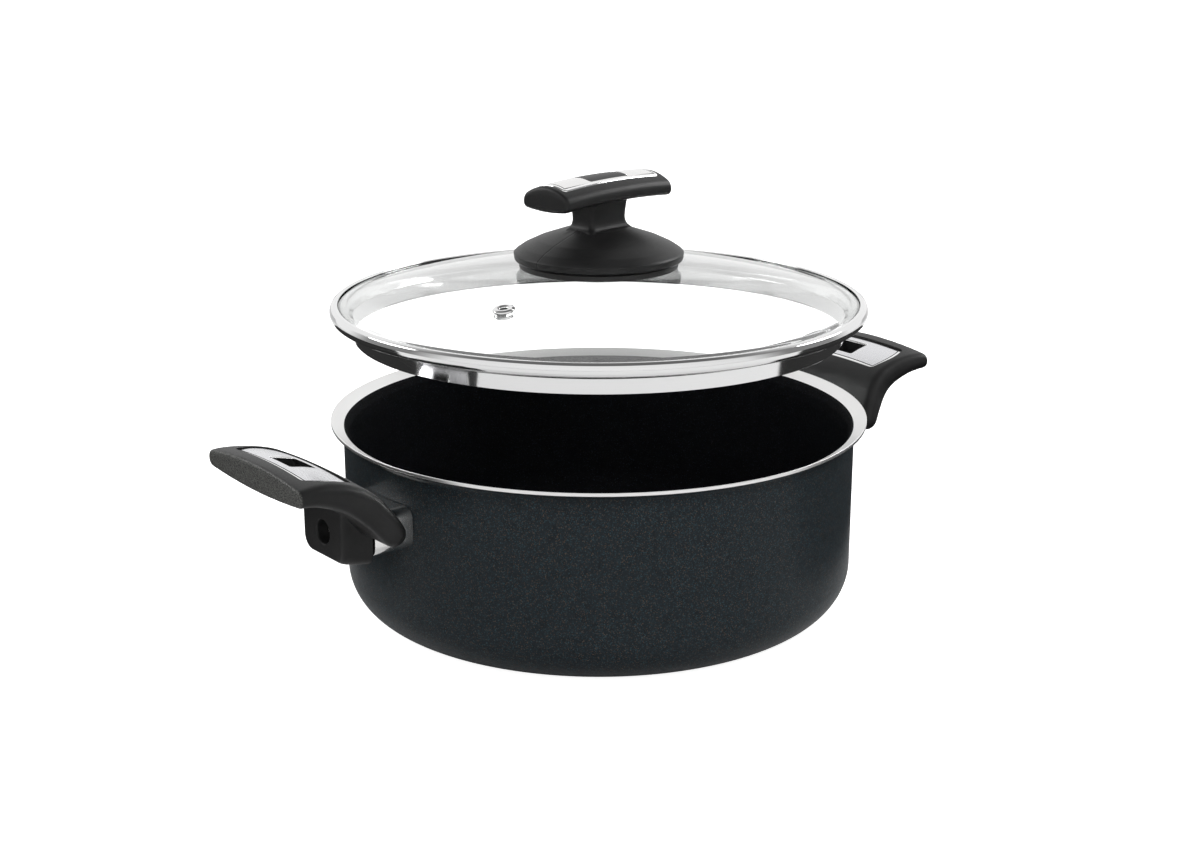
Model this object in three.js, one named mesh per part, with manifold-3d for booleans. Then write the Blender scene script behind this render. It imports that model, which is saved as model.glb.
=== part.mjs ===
// Low two-handled saucepan with a lift-off glass lid.
// Millimetres. Origin on the pot's axis at its underside, +Z up, the handles along X.
// The lid is held above the pot, LID_LIFT over its seat on the rim.

import * as THREE from 'three';
import { mergeVertices } from 'three/addons/utils/BufferGeometryUtils.js';
import Module from 'manifold-3d';

const wasm = await Module();
wasm.setup();

// ---- driving dimensions ----------------------------------------------------

const GAP = 0.3;                 // gap kept between pieces that touch
const ROUND_STEPS = 64;          // facets round the pot and the lid
const SMALL_STEPS = 20;          // facets round screws, studs and washers

// pot
const POT_INNER_R = 120;
const WALL = 3.6;
const POT_OUTER_R = POT_INNER_R + WALL;
const RIM_Z = 95.4;
const LIP_R = 129.4;
const LIP_THICK = 1.7;
const FLARE_RISE = 3.2;          // height gained by the ground face of the rim
const BASE_TOP_Z = 8.0;
const OUTER_CORNER_R = 22.7;
const INNER_CORNER_R = 20;
const POT_FOOT_Z = 0.4;          // the pot's own bottom edge, just above the disc's underside

// bonded disc let into the underside
const DISC_R = 98;
const DISC_THICK = 4;

// handle fixing, all on one level axis that points away from the pot
const AXIS_Z = 66.5;
const STUD_FLANGE_R = 8;
const STUD_FLANGE_THICK = 2;
const STUD_R = 5;
const STUD_END_X = 144.2;
const STUD_BORE_R = 2.7;
const STUD_BORE_END_X = 133;
const SCREW_SEAT_X = 147;
const SCREW_RECESS_R = 5.5;
const SCREW_HOLE_R = 2.8;
const WASHER_R = 4.9;
const WASHER_THICK = 0.8;
const SCREW_HEAD_R = 4.3;
const SCREW_HEAD_THICK = 3;
const SCREW_R = 2.4;
const SCREW_TIP_X = 134.5;

// flame guard: a sleeve between the wall and the grip
const GUARD_HALF_WIDTH = 21;
const GUARD_LOW_Z = 56.5;
const GUARD_HIGH_Z = 76;
const GUARD_CORNER_R = 5;
const GUARD_WALL = 1;
const GUARD_OUT_X = 141.9;

// grip
const BOSS_IN_X = GUARD_OUT_X + GAP;
const BOSS_OUT_X = 156;
const BOSS_IN_HALF = 20;
const BOSS_LOW_Z = 52.4;
const WING_OUT_X = 189;
const WING_OUT_Z = 97.8;
const WING_OUT_HALF = 41;
const WING_EDGE_R = 1.2;         // rounding round the grip's outer face

// metal plate let into the top of the grip
const PLATE_IN_X = 158.1;
const PLATE_OUT_X = 181.4;
const PLATE_IN_Z = 96.4;
const PLATE_OUT_Z = 101.9;
const PLATE_IN_HALF = 30.6;
const PLATE_OUT_HALF = 30.2;
const PLATE_ARCH = 1.5;          // rise of the middle over the side edges
const PLATE_SWELL = 1.4;         // rise of the middle over the inner and outer edges
const PLATE_SIDE_BOW = 1.7;      // how far each side edge bows out
const PLATE_CORNER_R = 3;
const PLATE_THICK = 1.3;
const WINDOW_X = 169.4;
const WINDOW_HALF_X = 6.3;
const WINDOW_HALF_Y = 9.6;
const WINDOW_CORNER_R = 1.5;

// lid
const LID_LIFT = 50.5;           // how far the lid is held above its seat
const LID_TURN = THREE.MathUtils.degToRad(8.8);
const CROWN_Z = 117.5;           // heights of the lid are given seated on the rim
const DOME_R = 121.5;
const DOME_DROP = 17.65;
const GLASS_THICK = 3.6;
const GLASS_EDGE_R = 125.4;
const GLASS_BORE_R = 4.5;
const BAND_STEEL = 0.9;
const SKIRT_LOW_R = 116.6;
const SKIRT_LOW_Z = 84.6;
const SKIRT_TOP_R = 119.4;
const SKIRT_TOP_Z = 93.3;
const SHOULDER_R = 125.2;        // lower corner of the bead, which sits on the flared rim
const SHOULDER_Z = 94.3;
const BEAD_R = 128;
const BEAD_TOP_Z = 101.3;
const LIP_INNER_R = 122.8;

// steam vent
const VENT_AT_R = 80;
const VENT_ANGLE = THREE.MathUtils.degToRad(191.2);
const VENT_HOLE_R = 1.9;
const VENT_TUBE_R = 3.4;
const VENT_FLANGE_R = 5.3;
const VENT_SEAL_R = 4.4;

// knob
const GASKET_R = 37.5;
const KNOB_R = 40.4;
const KNOB_RIDGE_R = 39.8;
const KNOB_LOW_Z = 119.2;
const KNOB_RIDGE_Z = 123.0;
const KNOB_NECK_Z = 135.2;
const STEM_HALF_X = 12;
const STEM_HALF_Y = 6.8;
const BAR_HALF_X = 36.3;
const BAR_HALF_Y = 14.8;
const BAR_MID_Z = 151.6;
const BAR_SIDE_HALF = 2.7;       // half the thickness along the bar's edges
const BAR_CROWN = 5.1;           // extra height along the middle line on top
const BAR_BELLY = 1.3;           // and below
const BAR_DROOP = 1.6;           // how far the two ends hang below the middle
const KNOB_PLATE_HALF_X = 32.5;
const KNOB_PLATE_HALF_Y = 9.2;
const KNOB_PLATE_THICK = 1.2;
const KNOB_PAD_HALF_X = 12.6;
const KNOB_PAD_HALF_Y = 7.2;
const INSERT_R = 3.8;
const INSERT_HIGH_Z = 136;
const INSERT_BORE_R = 2.6;
const KNOB_SCREW_R = 2.3;
const KNOB_WASHER_R = 9;
const KNOB_HEAD_R = 4.6;

// ---- materials --------------------------------------------------------------

function finish(color, roughness, metalness) {
  return new THREE.MeshStandardMaterial({ color, roughness, metalness });
}

const coated = finish(0x262c32, 0.45, 0.2);
const bareMetal = finish(0xb9bcbf, 0.35, 1);
const polished = finish(0xd6d8da, 0.12, 1);
const satin = finish(0xe6e6ea, 0.3, 1);
const phenolic = finish(0x3b3b3d, 0.6, 0);
const silicone = finish(0x161616, 0.8, 0);
const brass = finish(0xb08d4a, 0.3, 1);
const clearGlass = new THREE.MeshStandardMaterial({
  color: 0xeaf2f2, roughness: 0.03, metalness: 0, transparent: true, opacity: 0.25,
});

// ---- helpers ------------------------------------------------------------------

// A closed three.js geometry as a manifold-3d solid.
function solid(geometry) {
  const bare = geometry.index ? geometry.toNonIndexed() : geometry.clone();
  bare.deleteAttribute('normal');
  bare.deleteAttribute('uv');
  const merged = mergeVertices(bare, 1e-4);
  return new wasm.Manifold(new wasm.Mesh({
    numProp: 3,
    vertProperties: new Float32Array(merged.attributes.position.array),
    triVerts: new Uint32Array(merged.index.array),
  }));
}

// A manifold-3d solid back as a three.js geometry.
function geometryOf(body) {
  const mesh = body.getMesh();
  const geometry = new THREE.BufferGeometry();
  geometry.setAttribute('position', new THREE.BufferAttribute(mesh.vertProperties, 3));
  geometry.setIndex(new THREE.BufferAttribute(mesh.triVerts, 1));
  geometry.computeVertexNormals();
  return geometry;
}

function named(name, body, material) {
  const mesh = new THREE.Mesh(geometryOf(body), material);
  mesh.name = name;
  return mesh;
}

// Turns a closed outline of [radius, height] points about Z.
function turned(outline, steps = ROUND_STEPS) {
  const points = outline.map(([r, z]) => new THREE.Vector2(r, z));
  const ends = [points[0], points[points.length - 1]];
  if (ends.some((end) => end.x > 0)) {
    points.push(points[0].clone());
  }
  const geometry = new THREE.LatheGeometry(points, steps);
  geometry.rotateX(Math.PI / 2);
  const body = solid(geometry);
  if (body.volume() > 0) {
    return body;
  }
  const flipped = new THREE.LatheGeometry(points.reverse(), steps);
  flipped.rotateX(Math.PI / 2);
  return solid(flipped);
}

// A cylinder or a tube along Z, given as an outline.
function ring(innerR, outerR, lowZ, highZ, steps = SMALL_STEPS) {
  return turned([[innerR, lowZ], [outerR, lowZ], [outerR, highZ], [innerR, highZ]], steps);
}

// The same along +X, on the handle's fixing axis.
function ringAlongX(innerR, outerR, lowX, highX, steps = SMALL_STEPS) {
  return ring(innerR, outerR, lowX, highX, steps).rotate([0, 90, 0]).translate([0, 0, AXIS_Z]);
}

function arcPoints(centreR, centreZ, radius, fromDegrees, toDegrees, steps) {
  const points = [];
  for (let i = 0; i <= steps; i += 1) {
    const angle = THREE.MathUtils.degToRad(fromDegrees + (toDegrees - fromDegrees) * i / steps);
    points.push([centreR + radius * Math.cos(angle), centreZ + radius * Math.sin(angle)]);
  }
  return points;
}

// Points round a rectangle with rounded corners, anticlockwise.
function roundedOutline(halfX, halfY, cornerR, cornerSteps) {
  const points = [];
  const corners = [[1, 1, 0], [-1, 1, 90], [-1, -1, 180], [1, -1, 270]];
  for (const [signX, signY, start] of corners) {
    const x = signX * (halfX - cornerR);
    const y = signY * (halfY - cornerR);
    points.push(...arcPoints(x, y, cornerR, start, start + 90, cornerSteps));
  }
  return points;
}

// A prism standing on Z, from an outline of [x, y] points.
function prism(outline, lowZ, highZ) {
  const shape = new THREE.Shape(outline.map(([x, y]) => new THREE.Vector2(x, y)));
  const geometry = new THREE.ExtrudeGeometry(shape, { depth: highZ - lowZ, bevelEnabled: false });
  geometry.translate(0, 0, lowZ);
  return solid(geometry);
}

// A closed skin over a row of rings that all have the same number of points.
// The triangles of its two ends come from endTriangles(count, first point of the last ring).
function skin(rings, endTriangles, extraPoints = []) {
  const count = rings[0].length;
  const index = [];
  for (let i = 0; i < count; i += 1) {
    const next = (i + 1) % count;
    for (let j = 0; j < rings.length - 1; j += 1) {
      const low = j * count;
      const high = low + count;
      index.push(low + i, low + next, high + next, low + i, high + next, high + i);
    }
  }
  index.push(...endTriangles(count, (rings.length - 1) * count));
  const geometry = new THREE.BufferGeometry();
  const positions = [...rings.flat(2), ...extraPoints.flat()];
  geometry.setAttribute('position', new THREE.Float32BufferAttribute(positions, 3));
  geometry.setIndex(index);
  const body = solid(geometry);
  if (body.volume() > 0) {
    return body;
  }
  geometry.setIndex(index.slice().reverse());
  return solid(geometry);
}

function middleOf(points) {
  return [0, 1, 2].map((k) => points.reduce((sum, point) => sum + point[k], 0) / points.length);
}

// A skin whose ends are closed by fans about their middles.
function loft(rings) {
  const fans = (count, last) => {
    const index = [];
    for (let i = 0; i < count; i += 1) {
      const next = (i + 1) % count;
      index.push(last + count, next, i, last + count + 1, last + i, last + next);
    }
    return index;
  };
  return skin(rings, fans, [middleOf(rings[0]), middleOf(rings[rings.length - 1])]);
}

// A skin whose ends are closed by a strip between their lower and upper edges.
function loftSheet(rings) {
  const strips = (count, last) => {
    const index = [];
    for (let under = 0; under < count / 2 - 1; under += 1) {
      const over = count - 1 - under;
      index.push(under, over, over - 1, under, over - 1, under + 1);
      index.push(last + under, last + over - 1, last + over);
      index.push(last + under, last + under + 1, last + over - 1);
    }
    return index;
  };
  return skin(rings, strips);
}

// A slab between two copies of one surface, low and high above it.
function slab(surface, halfX, middleX, halfY, low, high) {
  const steps = 12;
  const rings = [];
  for (let i = 0; i <= steps; i += 1) {
    const x = middleX - halfX + 2 * halfX * i / steps;
    const lower = [];
    const upper = [];
    for (let j = 0; j <= steps; j += 1) {
      const y = -halfY + 2 * halfY * j / steps;
      lower.push([x, y, surface(x, y) + low]);
      upper.unshift([x, y, surface(x, y) + high]);
    }
    rings.push([...lower, ...upper]);
  }
  return loftSheet(rings);
}

// ---- pot ------------------------------------------------------------------------

function potBody() {
  const lipZ = RIM_Z - LIP_THICK;
  const outline = [
    [0, POT_FOOT_Z],
    ...arcPoints(POT_OUTER_R - OUTER_CORNER_R, POT_FOOT_Z + OUTER_CORNER_R, OUTER_CORNER_R, -90, 0, 8),
    ...arcPoints(POT_OUTER_R + 4, lipZ - 5, 4, 180, 110, 4),
    [LIP_R, lipZ],
    [LIP_R, RIM_Z],
    [POT_OUTER_R - GAP, RIM_Z - FLARE_RISE],
    [POT_INNER_R + 1.1, RIM_Z - FLARE_RISE - 1.6],
    [POT_INNER_R, RIM_Z - FLARE_RISE - 4.4],
    ...arcPoints(POT_INNER_R - INNER_CORNER_R, BASE_TOP_Z + INNER_CORNER_R, INNER_CORNER_R, 0, -90, 8),
    [0, BASE_TOP_Z],
  ];
  const pocket = ring(0, DISC_R + GAP, -1, DISC_THICK + GAP, ROUND_STEPS);
  return named('pot_body', turned(outline).subtract(pocket), coated);
}

function baseDisc() {
  return named('base_disc', ring(0, DISC_R, 0, DISC_THICK, ROUND_STEPS), bareMetal);
}

// ---- handles, drawn on the +X side --------------------------------------------------

function wallCutter() {
  return ring(0, POT_OUTER_R + GAP, 0, RIM_Z, ROUND_STEPS);
}

function weldStud() {
  const flange = ringAlongX(0, STUD_FLANGE_R, POT_OUTER_R - 3, POT_OUTER_R + STUD_FLANGE_THICK);
  const shaft = ringAlongX(0, STUD_R, POT_OUTER_R, STUD_END_X);
  const bore = ringAlongX(0, STUD_BORE_R, STUD_BORE_END_X, STUD_END_X + 1);
  return flange.add(shaft).subtract(bore).subtract(wallCutter());
}

function sleeveBlock(inset, lowX, highX) {
  const halfHeight = (GUARD_HIGH_Z - GUARD_LOW_Z) / 2 - inset;
  const outline = roundedOutline(halfHeight, GUARD_HALF_WIDTH - inset, GUARD_CORNER_R - inset, 4);
  const middleZ = (GUARD_HIGH_Z + GUARD_LOW_Z) / 2;
  return prism(outline, lowX, highX).rotate([0, 90, 0]).translate([0, 0, middleZ]);
}

function flameGuard() {
  const outside = sleeveBlock(0, POT_OUTER_R - 5, GUARD_OUT_X);
  const inside = sleeveBlock(GUARD_WALL, POT_OUTER_R - 6, GUARD_OUT_X + 1);
  return outside.subtract(inside).subtract(wallCutter());
}

// One cross-section of the wing: a rounded bar, arched above and below.
function wingRing(x, z, tiltDegrees, halfWidth, halfSide, crown, belly, inset = 0) {
  const tilt = THREE.MathUtils.degToRad(tiltDegrees);
  const halfY = halfWidth - inset;
  const halfT = halfSide - inset;
  const corner = Math.min(halfT * 0.9, 4.5);
  return roundedOutline(halfY, halfT, corner, 3).flatMap(([y, t], i, all) => {
    const nextPoint = all[(i + 1) % all.length];
    const span = Math.abs(nextPoint[0] - y);
    const pieces = span > halfWidth ? 8 : 1;
    const points = [];
    for (let k = 0; k < pieces; k += 1) {
      const at = y + (nextPoint[0] - y) * k / pieces;
      const bulge = 1 - (at / halfWidth) ** 2;
      const height = t + (t > 0 ? crown : -belly) * bulge * Math.abs(t) / halfSide;
      points.push([x - height * Math.sin(tilt), at, z + height * Math.cos(tilt)]);
    }
    return points;
  });
}

// From the wing's inner edge against the pot, up and out to its outer face.
function wing() {
  return loft([
    wingRing(141.2, 69.6, 56, 41.8, 1.6, 0, 0),
    wingRing(142.3, 71.0, 56, 44.0, 4.4, 0, 0),
    wingRing(144.6, 74.2, 54, 45.0, 5.7, 0.2, 0),
    wingRing(148.8, 80.2, 50, 43.2, 6.1, 0.4, 0),
    wingRing(154.4, 86.6, 41, 40.8, 6.5, 1.0, 0.2),
    wingRing(161.0, 91.2, 29, 39.2, 6.2, 1.5, 0.4),
    wingRing(169.0, 94.5, 18, 38.8, 5.6, 1.6, 1.0),
    wingRing(178.0, 96.9, 8, 39.6, 4.6, 2.2, 1.7),
    wingRing(184.2, 97.7, 3, 40.5, 4.0, 2.8, 2.0),
    wingRing(WING_OUT_X - WING_EDGE_R, WING_OUT_Z, 0, WING_OUT_HALF, 3.5, 3.3, 2.2),
    wingRing(WING_OUT_X, WING_OUT_Z, 0, WING_OUT_HALF, 3.5, 3.3, 2.2, WING_EDGE_R),
  ]);
}

function boss() {
  const section = (x, halfWidth, lowZ, highZ) => {
    const middleZ = (lowZ + highZ) / 2;
    const outline = roundedOutline(halfWidth, (highZ - lowZ) / 2, 6, 3);
    return outline.map(([y, z]) => [x, y, z + middleZ]);
  };
  return loft([
    section(BOSS_IN_X, BOSS_IN_HALF, BOSS_LOW_Z, 77),
    section(149, BOSS_IN_HALF - 1.6, BOSS_LOW_Z + 0.6, 82),
    section(BOSS_OUT_X - 1.5, BOSS_IN_HALF - 2.4, BOSS_LOW_Z + 2, 86),
    section(BOSS_OUT_X, BOSS_IN_HALF - 3.6, BOSS_LOW_Z + 3.4, 86),
  ]);
}

// Height of the plate's top face over the handle.
function plateTop(x, y) {
  const along = (x - PLATE_IN_X) / (PLATE_OUT_X - PLATE_IN_X);
  const ramp = PLATE_IN_Z + (PLATE_OUT_Z - PLATE_IN_Z) * along;
  const swell = PLATE_SWELL * 4 * along * (1 - along);
  return ramp + swell + PLATE_ARCH * (1 - (y / PLATE_IN_HALF) ** 2);
}

function plateOutline(grow) {
  const inX = PLATE_IN_X - grow;
  const outX = PLATE_OUT_X + grow;
  const inY = PLATE_IN_HALF + grow;
  const outY = PLATE_OUT_HALF + grow;
  const r = PLATE_CORNER_R + grow;
  const bowed = [0.2, 0.4, 0.6, 0.8].map((t) => {
    const x = outX - r + (inX - outX + 2 * r) * t;
    return [x, outY + (inY - outY) * t + PLATE_SIDE_BOW * 4 * t * (1 - t)];
  });
  const side = [
    ...arcPoints(outX - r, outY - r, r, 0, 75, 4),
    ...bowed,
    ...arcPoints(inX + r, inY - r, r, 105, 180, 4),
  ];
  const mirrored = side.map(([x, y]) => [x, -y]).reverse();
  return [...side, ...mirrored];
}

function plateBlock(grow, low, high) {
  const middleX = (PLATE_IN_X + PLATE_OUT_X) / 2;
  const sheet = slab(plateTop, 14, middleX, 38, low, high);
  return sheet.intersect(prism(plateOutline(grow), 60, 130));
}

function windowBlock(grow) {
  const outline = roundedOutline(WINDOW_HALF_X + grow, WINDOW_HALF_Y + grow, WINDOW_CORNER_R, 2);
  return prism(outline, 60, 130).translate([WINDOW_X, 0, 0]);
}

function handleGrip() {
  const pocketDepth = PLATE_THICK + GAP;
  const recess = ringAlongX(0, SCREW_RECESS_R, SCREW_SEAT_X, BOSS_OUT_X + 8);
  const screwHole = ringAlongX(0, SCREW_HOLE_R, BOSS_IN_X - 1, SCREW_SEAT_X + 1);
  const studSocket = ringAlongX(0, STUD_R + GAP, BOSS_IN_X - 1, STUD_END_X + GAP);
  return wing()
    .add(boss())
    .subtract(sleeveBlock(-GAP, POT_OUTER_R, BOSS_IN_X))
    .subtract(plateBlock(GAP, -pocketDepth, 20))
    .subtract(windowBlock(0))
    .subtract(recess)
    .subtract(screwHole)
    .subtract(studSocket);
}

function handlePlate() {
  return plateBlock(0, -PLATE_THICK, 0).subtract(windowBlock(0));
}

function screwWasher() {
  const seat = SCREW_SEAT_X + GAP;
  return ringAlongX(SCREW_HOLE_R, WASHER_R, seat, seat + WASHER_THICK);
}

// Crossed slots for a screwdriver, sunk into a head that faces +Z.
function crossRecess(faceZ, depth, halfLength, halfWidth) {
  const along = prism(roundedOutline(halfLength, halfWidth, halfWidth * 0.8, 2), faceZ - depth, faceZ + 1);
  return along.add(along.rotate([0, 0, 90]));
}

function handleScrew() {
  const under = SCREW_SEAT_X + WASHER_THICK + 2 * GAP;
  const face = under + SCREW_HEAD_THICK;
  const outline = [
    [0, SCREW_TIP_X],
    [SCREW_R - 0.6, SCREW_TIP_X],
    [SCREW_R, SCREW_TIP_X + 0.8],
    [SCREW_R, under],
    [SCREW_HEAD_R, under],
    [SCREW_HEAD_R, face - 1.4],
    [SCREW_HEAD_R - 1.3, face],
    [0, face],
  ];
  const screw = turned(outline, SMALL_STEPS).subtract(crossRecess(face, 1.8, 2.6, 0.6));
  return screw.rotate([0, 90, 0]).translate([0, 0, AXIS_Z]);
}

function handle(side, turn) {
  const group = new THREE.Group();
  group.rotation.z = turn;
  group.add(named(`weld_stud_${side}`, weldStud(), bareMetal));
  group.add(named(`flame_guard_${side}`, flameGuard(), polished));
  group.add(named(`handle_grip_${side}`, handleGrip(), phenolic));
  group.add(named(`handle_plate_${side}`, handlePlate(), satin));
  group.add(named(`screw_washer_${side}`, screwWasher(), bareMetal));
  group.add(named(`handle_screw_${side}`, handleScrew(), polished));
  return group;
}

// ---- lid, drawn seated on the rim with the knob's bar along X -------------------------

function domeZ(r) {
  return CROWN_Z - DOME_DROP * (r / DOME_R) ** 2;
}

// Points along the dome between two radii, offset down by a depth.
function domePoints(fromR, toR, depth, steps) {
  const points = [];
  for (let i = 0; i <= steps; i += 1) {
    const r = fromR + (toR - fromR) * i / steps;
    points.push([r, domeZ(r) - depth]);
  }
  return points;
}

function ventPlace() {
  return [VENT_AT_R * Math.cos(VENT_ANGLE), VENT_AT_R * Math.sin(VENT_ANGLE), domeZ(VENT_AT_R)];
}

// Lays a piece drawn at the origin onto the dome at the vent.
function onVent(body) {
  const slope = Math.atan(2 * DOME_DROP * VENT_AT_R / DOME_R ** 2);
  const lean = THREE.MathUtils.radToDeg(slope);
  const around = THREE.MathUtils.radToDeg(VENT_ANGLE);
  return body.rotate([0, lean, 0]).rotate([0, 0, around]).translate(ventPlace());
}

function lidGlass() {
  const edgeZ = domeZ(DOME_R);
  const outline = [
    ...domePoints(GLASS_BORE_R, DOME_R, 0, 7),
    [GLASS_EDGE_R - 0.8, edgeZ],
    [GLASS_EDGE_R, edgeZ - 0.8],
    [GLASS_EDGE_R, edgeZ - GLASS_THICK + 0.8],
    [GLASS_EDGE_R - 0.8, edgeZ - GLASS_THICK],
    ...domePoints(DOME_R, GLASS_BORE_R, GLASS_THICK, 7),
  ];
  const ventBore = onVent(ring(0, VENT_SEAL_R + GAP, -10, 10));
  return named('lid_glass', turned(outline).subtract(ventBore), clearGlass);
}

// Rolled steel band: a channel over the glass edge and a skirt that enters the pot.
function lidBand() {
  const glassTop = domeZ(DOME_R);
  const glassLow = glassTop - GLASS_THICK;
  const outside = [
    [LIP_INNER_R, glassTop + GAP + BAND_STEEL],
    [125.6, BEAD_TOP_Z],
    [127.3, BEAD_TOP_Z - 1.1],
    [BEAD_R, BEAD_TOP_Z - 3.2],
    [BEAD_R - 0.2, BEAD_TOP_Z - 4.8],
    [BEAD_R - 0.9, BEAD_TOP_Z - 6.2],
    [SHOULDER_R, SHOULDER_Z],
    [SKIRT_TOP_R, SKIRT_TOP_Z],
    [SKIRT_LOW_R, SKIRT_LOW_Z],
  ];
  const inside = [
    [SKIRT_LOW_R - BAND_STEEL, SKIRT_LOW_Z + 0.3],
    [SKIRT_TOP_R - BAND_STEEL, SKIRT_TOP_Z + BAND_STEEL],
    [SHOULDER_R, glassLow - GAP],
    [GLASS_EDGE_R + 1.4, glassLow],
    [GLASS_EDGE_R + 1.7, glassTop - 1.8],
    [GLASS_EDGE_R + 0.4, glassTop + GAP],
    [LIP_INNER_R, glassTop + GAP],
  ];
  return named('lid_band', turned([...outside, ...inside]), polished);
}

function ventEyelet() {
  const high = GAP;
  const low = -GLASS_THICK - GAP;
  const outline = [
    [VENT_HOLE_R, low - 1],
    [VENT_FLANGE_R - 0.6, low - 1],
    [VENT_FLANGE_R - 0.6, low],
    [VENT_TUBE_R, low],
    [VENT_TUBE_R, high],
    [VENT_FLANGE_R, high],
    [VENT_FLANGE_R - 0.5, high + 0.9],
    [VENT_HOLE_R + 0.9, high + 1.2],
    [VENT_HOLE_R, high + 0.6],
  ];
  return named('vent_eyelet', onVent(turned(outline, SMALL_STEPS)), polished);
}

function ventSeal() {
  const sleeve = ring(VENT_TUBE_R + 0.2, VENT_SEAL_R, -GLASS_THICK + GAP, -GAP);
  return named('vent_seal', onVent(sleeve), silicone);
}

function knobGasket() {
  const inner = INSERT_R + 2;
  const outline = [
    ...domePoints(inner, GASKET_R, -GAP, 6),
    [GASKET_R + 0.4, domeZ(GASKET_R) + GAP + 1.2],
    [GASKET_R, KNOB_LOW_Z - GAP],
    [inner, KNOB_LOW_Z - GAP],
  ];
  return named('knob_gasket', turned(outline, 48), silicone);
}

// Height of the bar's own middle surface, drooping towards its two ends.
function barMiddle(x) {
  return BAR_MID_Z - BAR_DROOP * (x / BAR_HALF_X) ** 2;
}

function barTop(x, y) {
  return barMiddle(x) + BAR_SIDE_HALF + BAR_CROWN * (1 - (y / BAR_HALF_Y) ** 2);
}

function barRing(x, inset) {
  const halfY = BAR_HALF_Y - 0.3 * (x / BAR_HALF_X) ** 2 - inset;
  const halfT = BAR_SIDE_HALF - inset;
  return roundedOutline(halfY, halfT, Math.min(2.2, halfT * 0.9), 3).flatMap(([y, t], i, all) => {
    const nextPoint = all[(i + 1) % all.length];
    const pieces = Math.abs(nextPoint[0] - y) > halfY ? 6 : 1;
    const points = [];
    for (let k = 0; k < pieces; k += 1) {
      const at = y + (nextPoint[0] - y) * k / pieces;
      const swell = (t > 0 ? BAR_CROWN : BAR_BELLY) * t / BAR_SIDE_HALF;
      const bulge = swell * (1 - (at / BAR_HALF_Y) ** 2);
      points.push([x, at, barMiddle(x) + t + bulge]);
    }
    return points;
  });
}

function knobBar() {
  const rings = [barRing(-BAR_HALF_X, 1.4)];
  const reach = BAR_HALF_X - 1.2;
  const steps = 10;
  for (let i = 0; i <= steps; i += 1) {
    rings.push(barRing(-reach + 2 * reach * i / steps, 0));
  }
  rings.push(barRing(BAR_HALF_X, 1.4));
  return loft(rings);
}

function knobSkirt() {
  const outline = [
    [0, KNOB_LOW_Z],
    [KNOB_R - 1.4, KNOB_LOW_Z],
    [KNOB_R, KNOB_LOW_Z + 1.2],
    [KNOB_R - 0.1, KNOB_LOW_Z + 2.4],
    [KNOB_RIDGE_R, KNOB_RIDGE_Z],
    [KNOB_RIDGE_R - 0.6, KNOB_RIDGE_Z + 2.0],
    [KNOB_RIDGE_R - 2.1, KNOB_RIDGE_Z + 3.6],
    [33, KNOB_RIDGE_Z + 5.7],
    [27, KNOB_RIDGE_Z + 7.7],
    [20, KNOB_RIDGE_Z + 9.8],
    [14, KNOB_NECK_Z - 0.5],
    [0, KNOB_NECK_Z + 0.4],
  ];
  return turned(outline, 48);
}

function stemRing(z, grow) {
  return roundedOutline(STEM_HALF_X + grow, STEM_HALF_Y + grow, 2.2, 3).map(([x, y]) => [x, y, z]);
}

function knobStem() {
  return loft([
    stemRing(KNOB_NECK_Z - 6, 2.6),
    stemRing(KNOB_NECK_Z - 1.2, 1.8),
    stemRing(KNOB_NECK_Z + 1.4, 0.3),
    stemRing(KNOB_NECK_Z + 6, 0),
    stemRing(BAR_MID_Z - 4, 0.8),
    stemRing(BAR_MID_Z, 1.2),
  ]);
}

function knobPlateBlock(grow, low, high) {
  const outline = roundedOutline(KNOB_PLATE_HALF_X + grow, KNOB_PLATE_HALF_Y + grow, 2 + grow, 3);
  return slab(barTop, 34, 0, 11, low, high).intersect(prism(outline, 100, 190));
}

function padBlock(grow) {
  return prism(roundedOutline(KNOB_PAD_HALF_X + grow, KNOB_PAD_HALF_Y + grow, 2 + grow, 3), 100, 190);
}

function knobBody() {
  const pocket = knobPlateBlock(GAP, -KNOB_PLATE_THICK, 20).subtract(padBlock(0));
  const insertHole = ring(0, INSERT_R + GAP, KNOB_LOW_Z - 1, INSERT_HIGH_Z + GAP);
  const whole = knobSkirt().add(knobStem()).add(knobBar());
  return named('knob_body', whole.subtract(pocket).subtract(insertHole), phenolic);
}

function knobPlate() {
  const body = knobPlateBlock(0, GAP - KNOB_PLATE_THICK, 0.4).subtract(padBlock(GAP));
  return named('knob_plate', body, satin);
}

function knobInsert() {
  return named('knob_insert', ring(INSERT_BORE_R, INSERT_R, KNOB_LOW_Z + 0.4, INSERT_HIGH_Z), brass);
}

function knobSeal() {
  const high = domeZ(0) - GLASS_THICK - GAP - 0.3;
  return named('knob_seal', ring(KNOB_SCREW_R + GAP, KNOB_WASHER_R + 1, high - 1, high), silicone);
}

function knobWasher() {
  const high = domeZ(0) - GLASS_THICK - 2 * GAP - 1.3;
  return named('knob_washer', ring(KNOB_SCREW_R + GAP, KNOB_WASHER_R, high - 1, high), polished);
}

function knobScrew() {
  const under = domeZ(0) - GLASS_THICK - 3 * GAP - 2.3;
  const face = under - 2.8;
  const tip = INSERT_HIGH_Z - 2;
  const outline = [
    [0, face],
    [KNOB_HEAD_R - 1.2, face],
    [KNOB_HEAD_R, face + 1.2],
    [KNOB_HEAD_R, under],
    [KNOB_SCREW_R, under],
    [KNOB_SCREW_R, tip - 0.8],
    [KNOB_SCREW_R - 0.6, tip],
    [0, tip],
  ];
  const slots = crossRecess(0, 1.6, 2.6, 0.6).rotate([180, 0, 0]).translate([0, 0, face]);
  return named('knob_screw', turned(outline, SMALL_STEPS).subtract(slots), polished);
}

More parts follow.
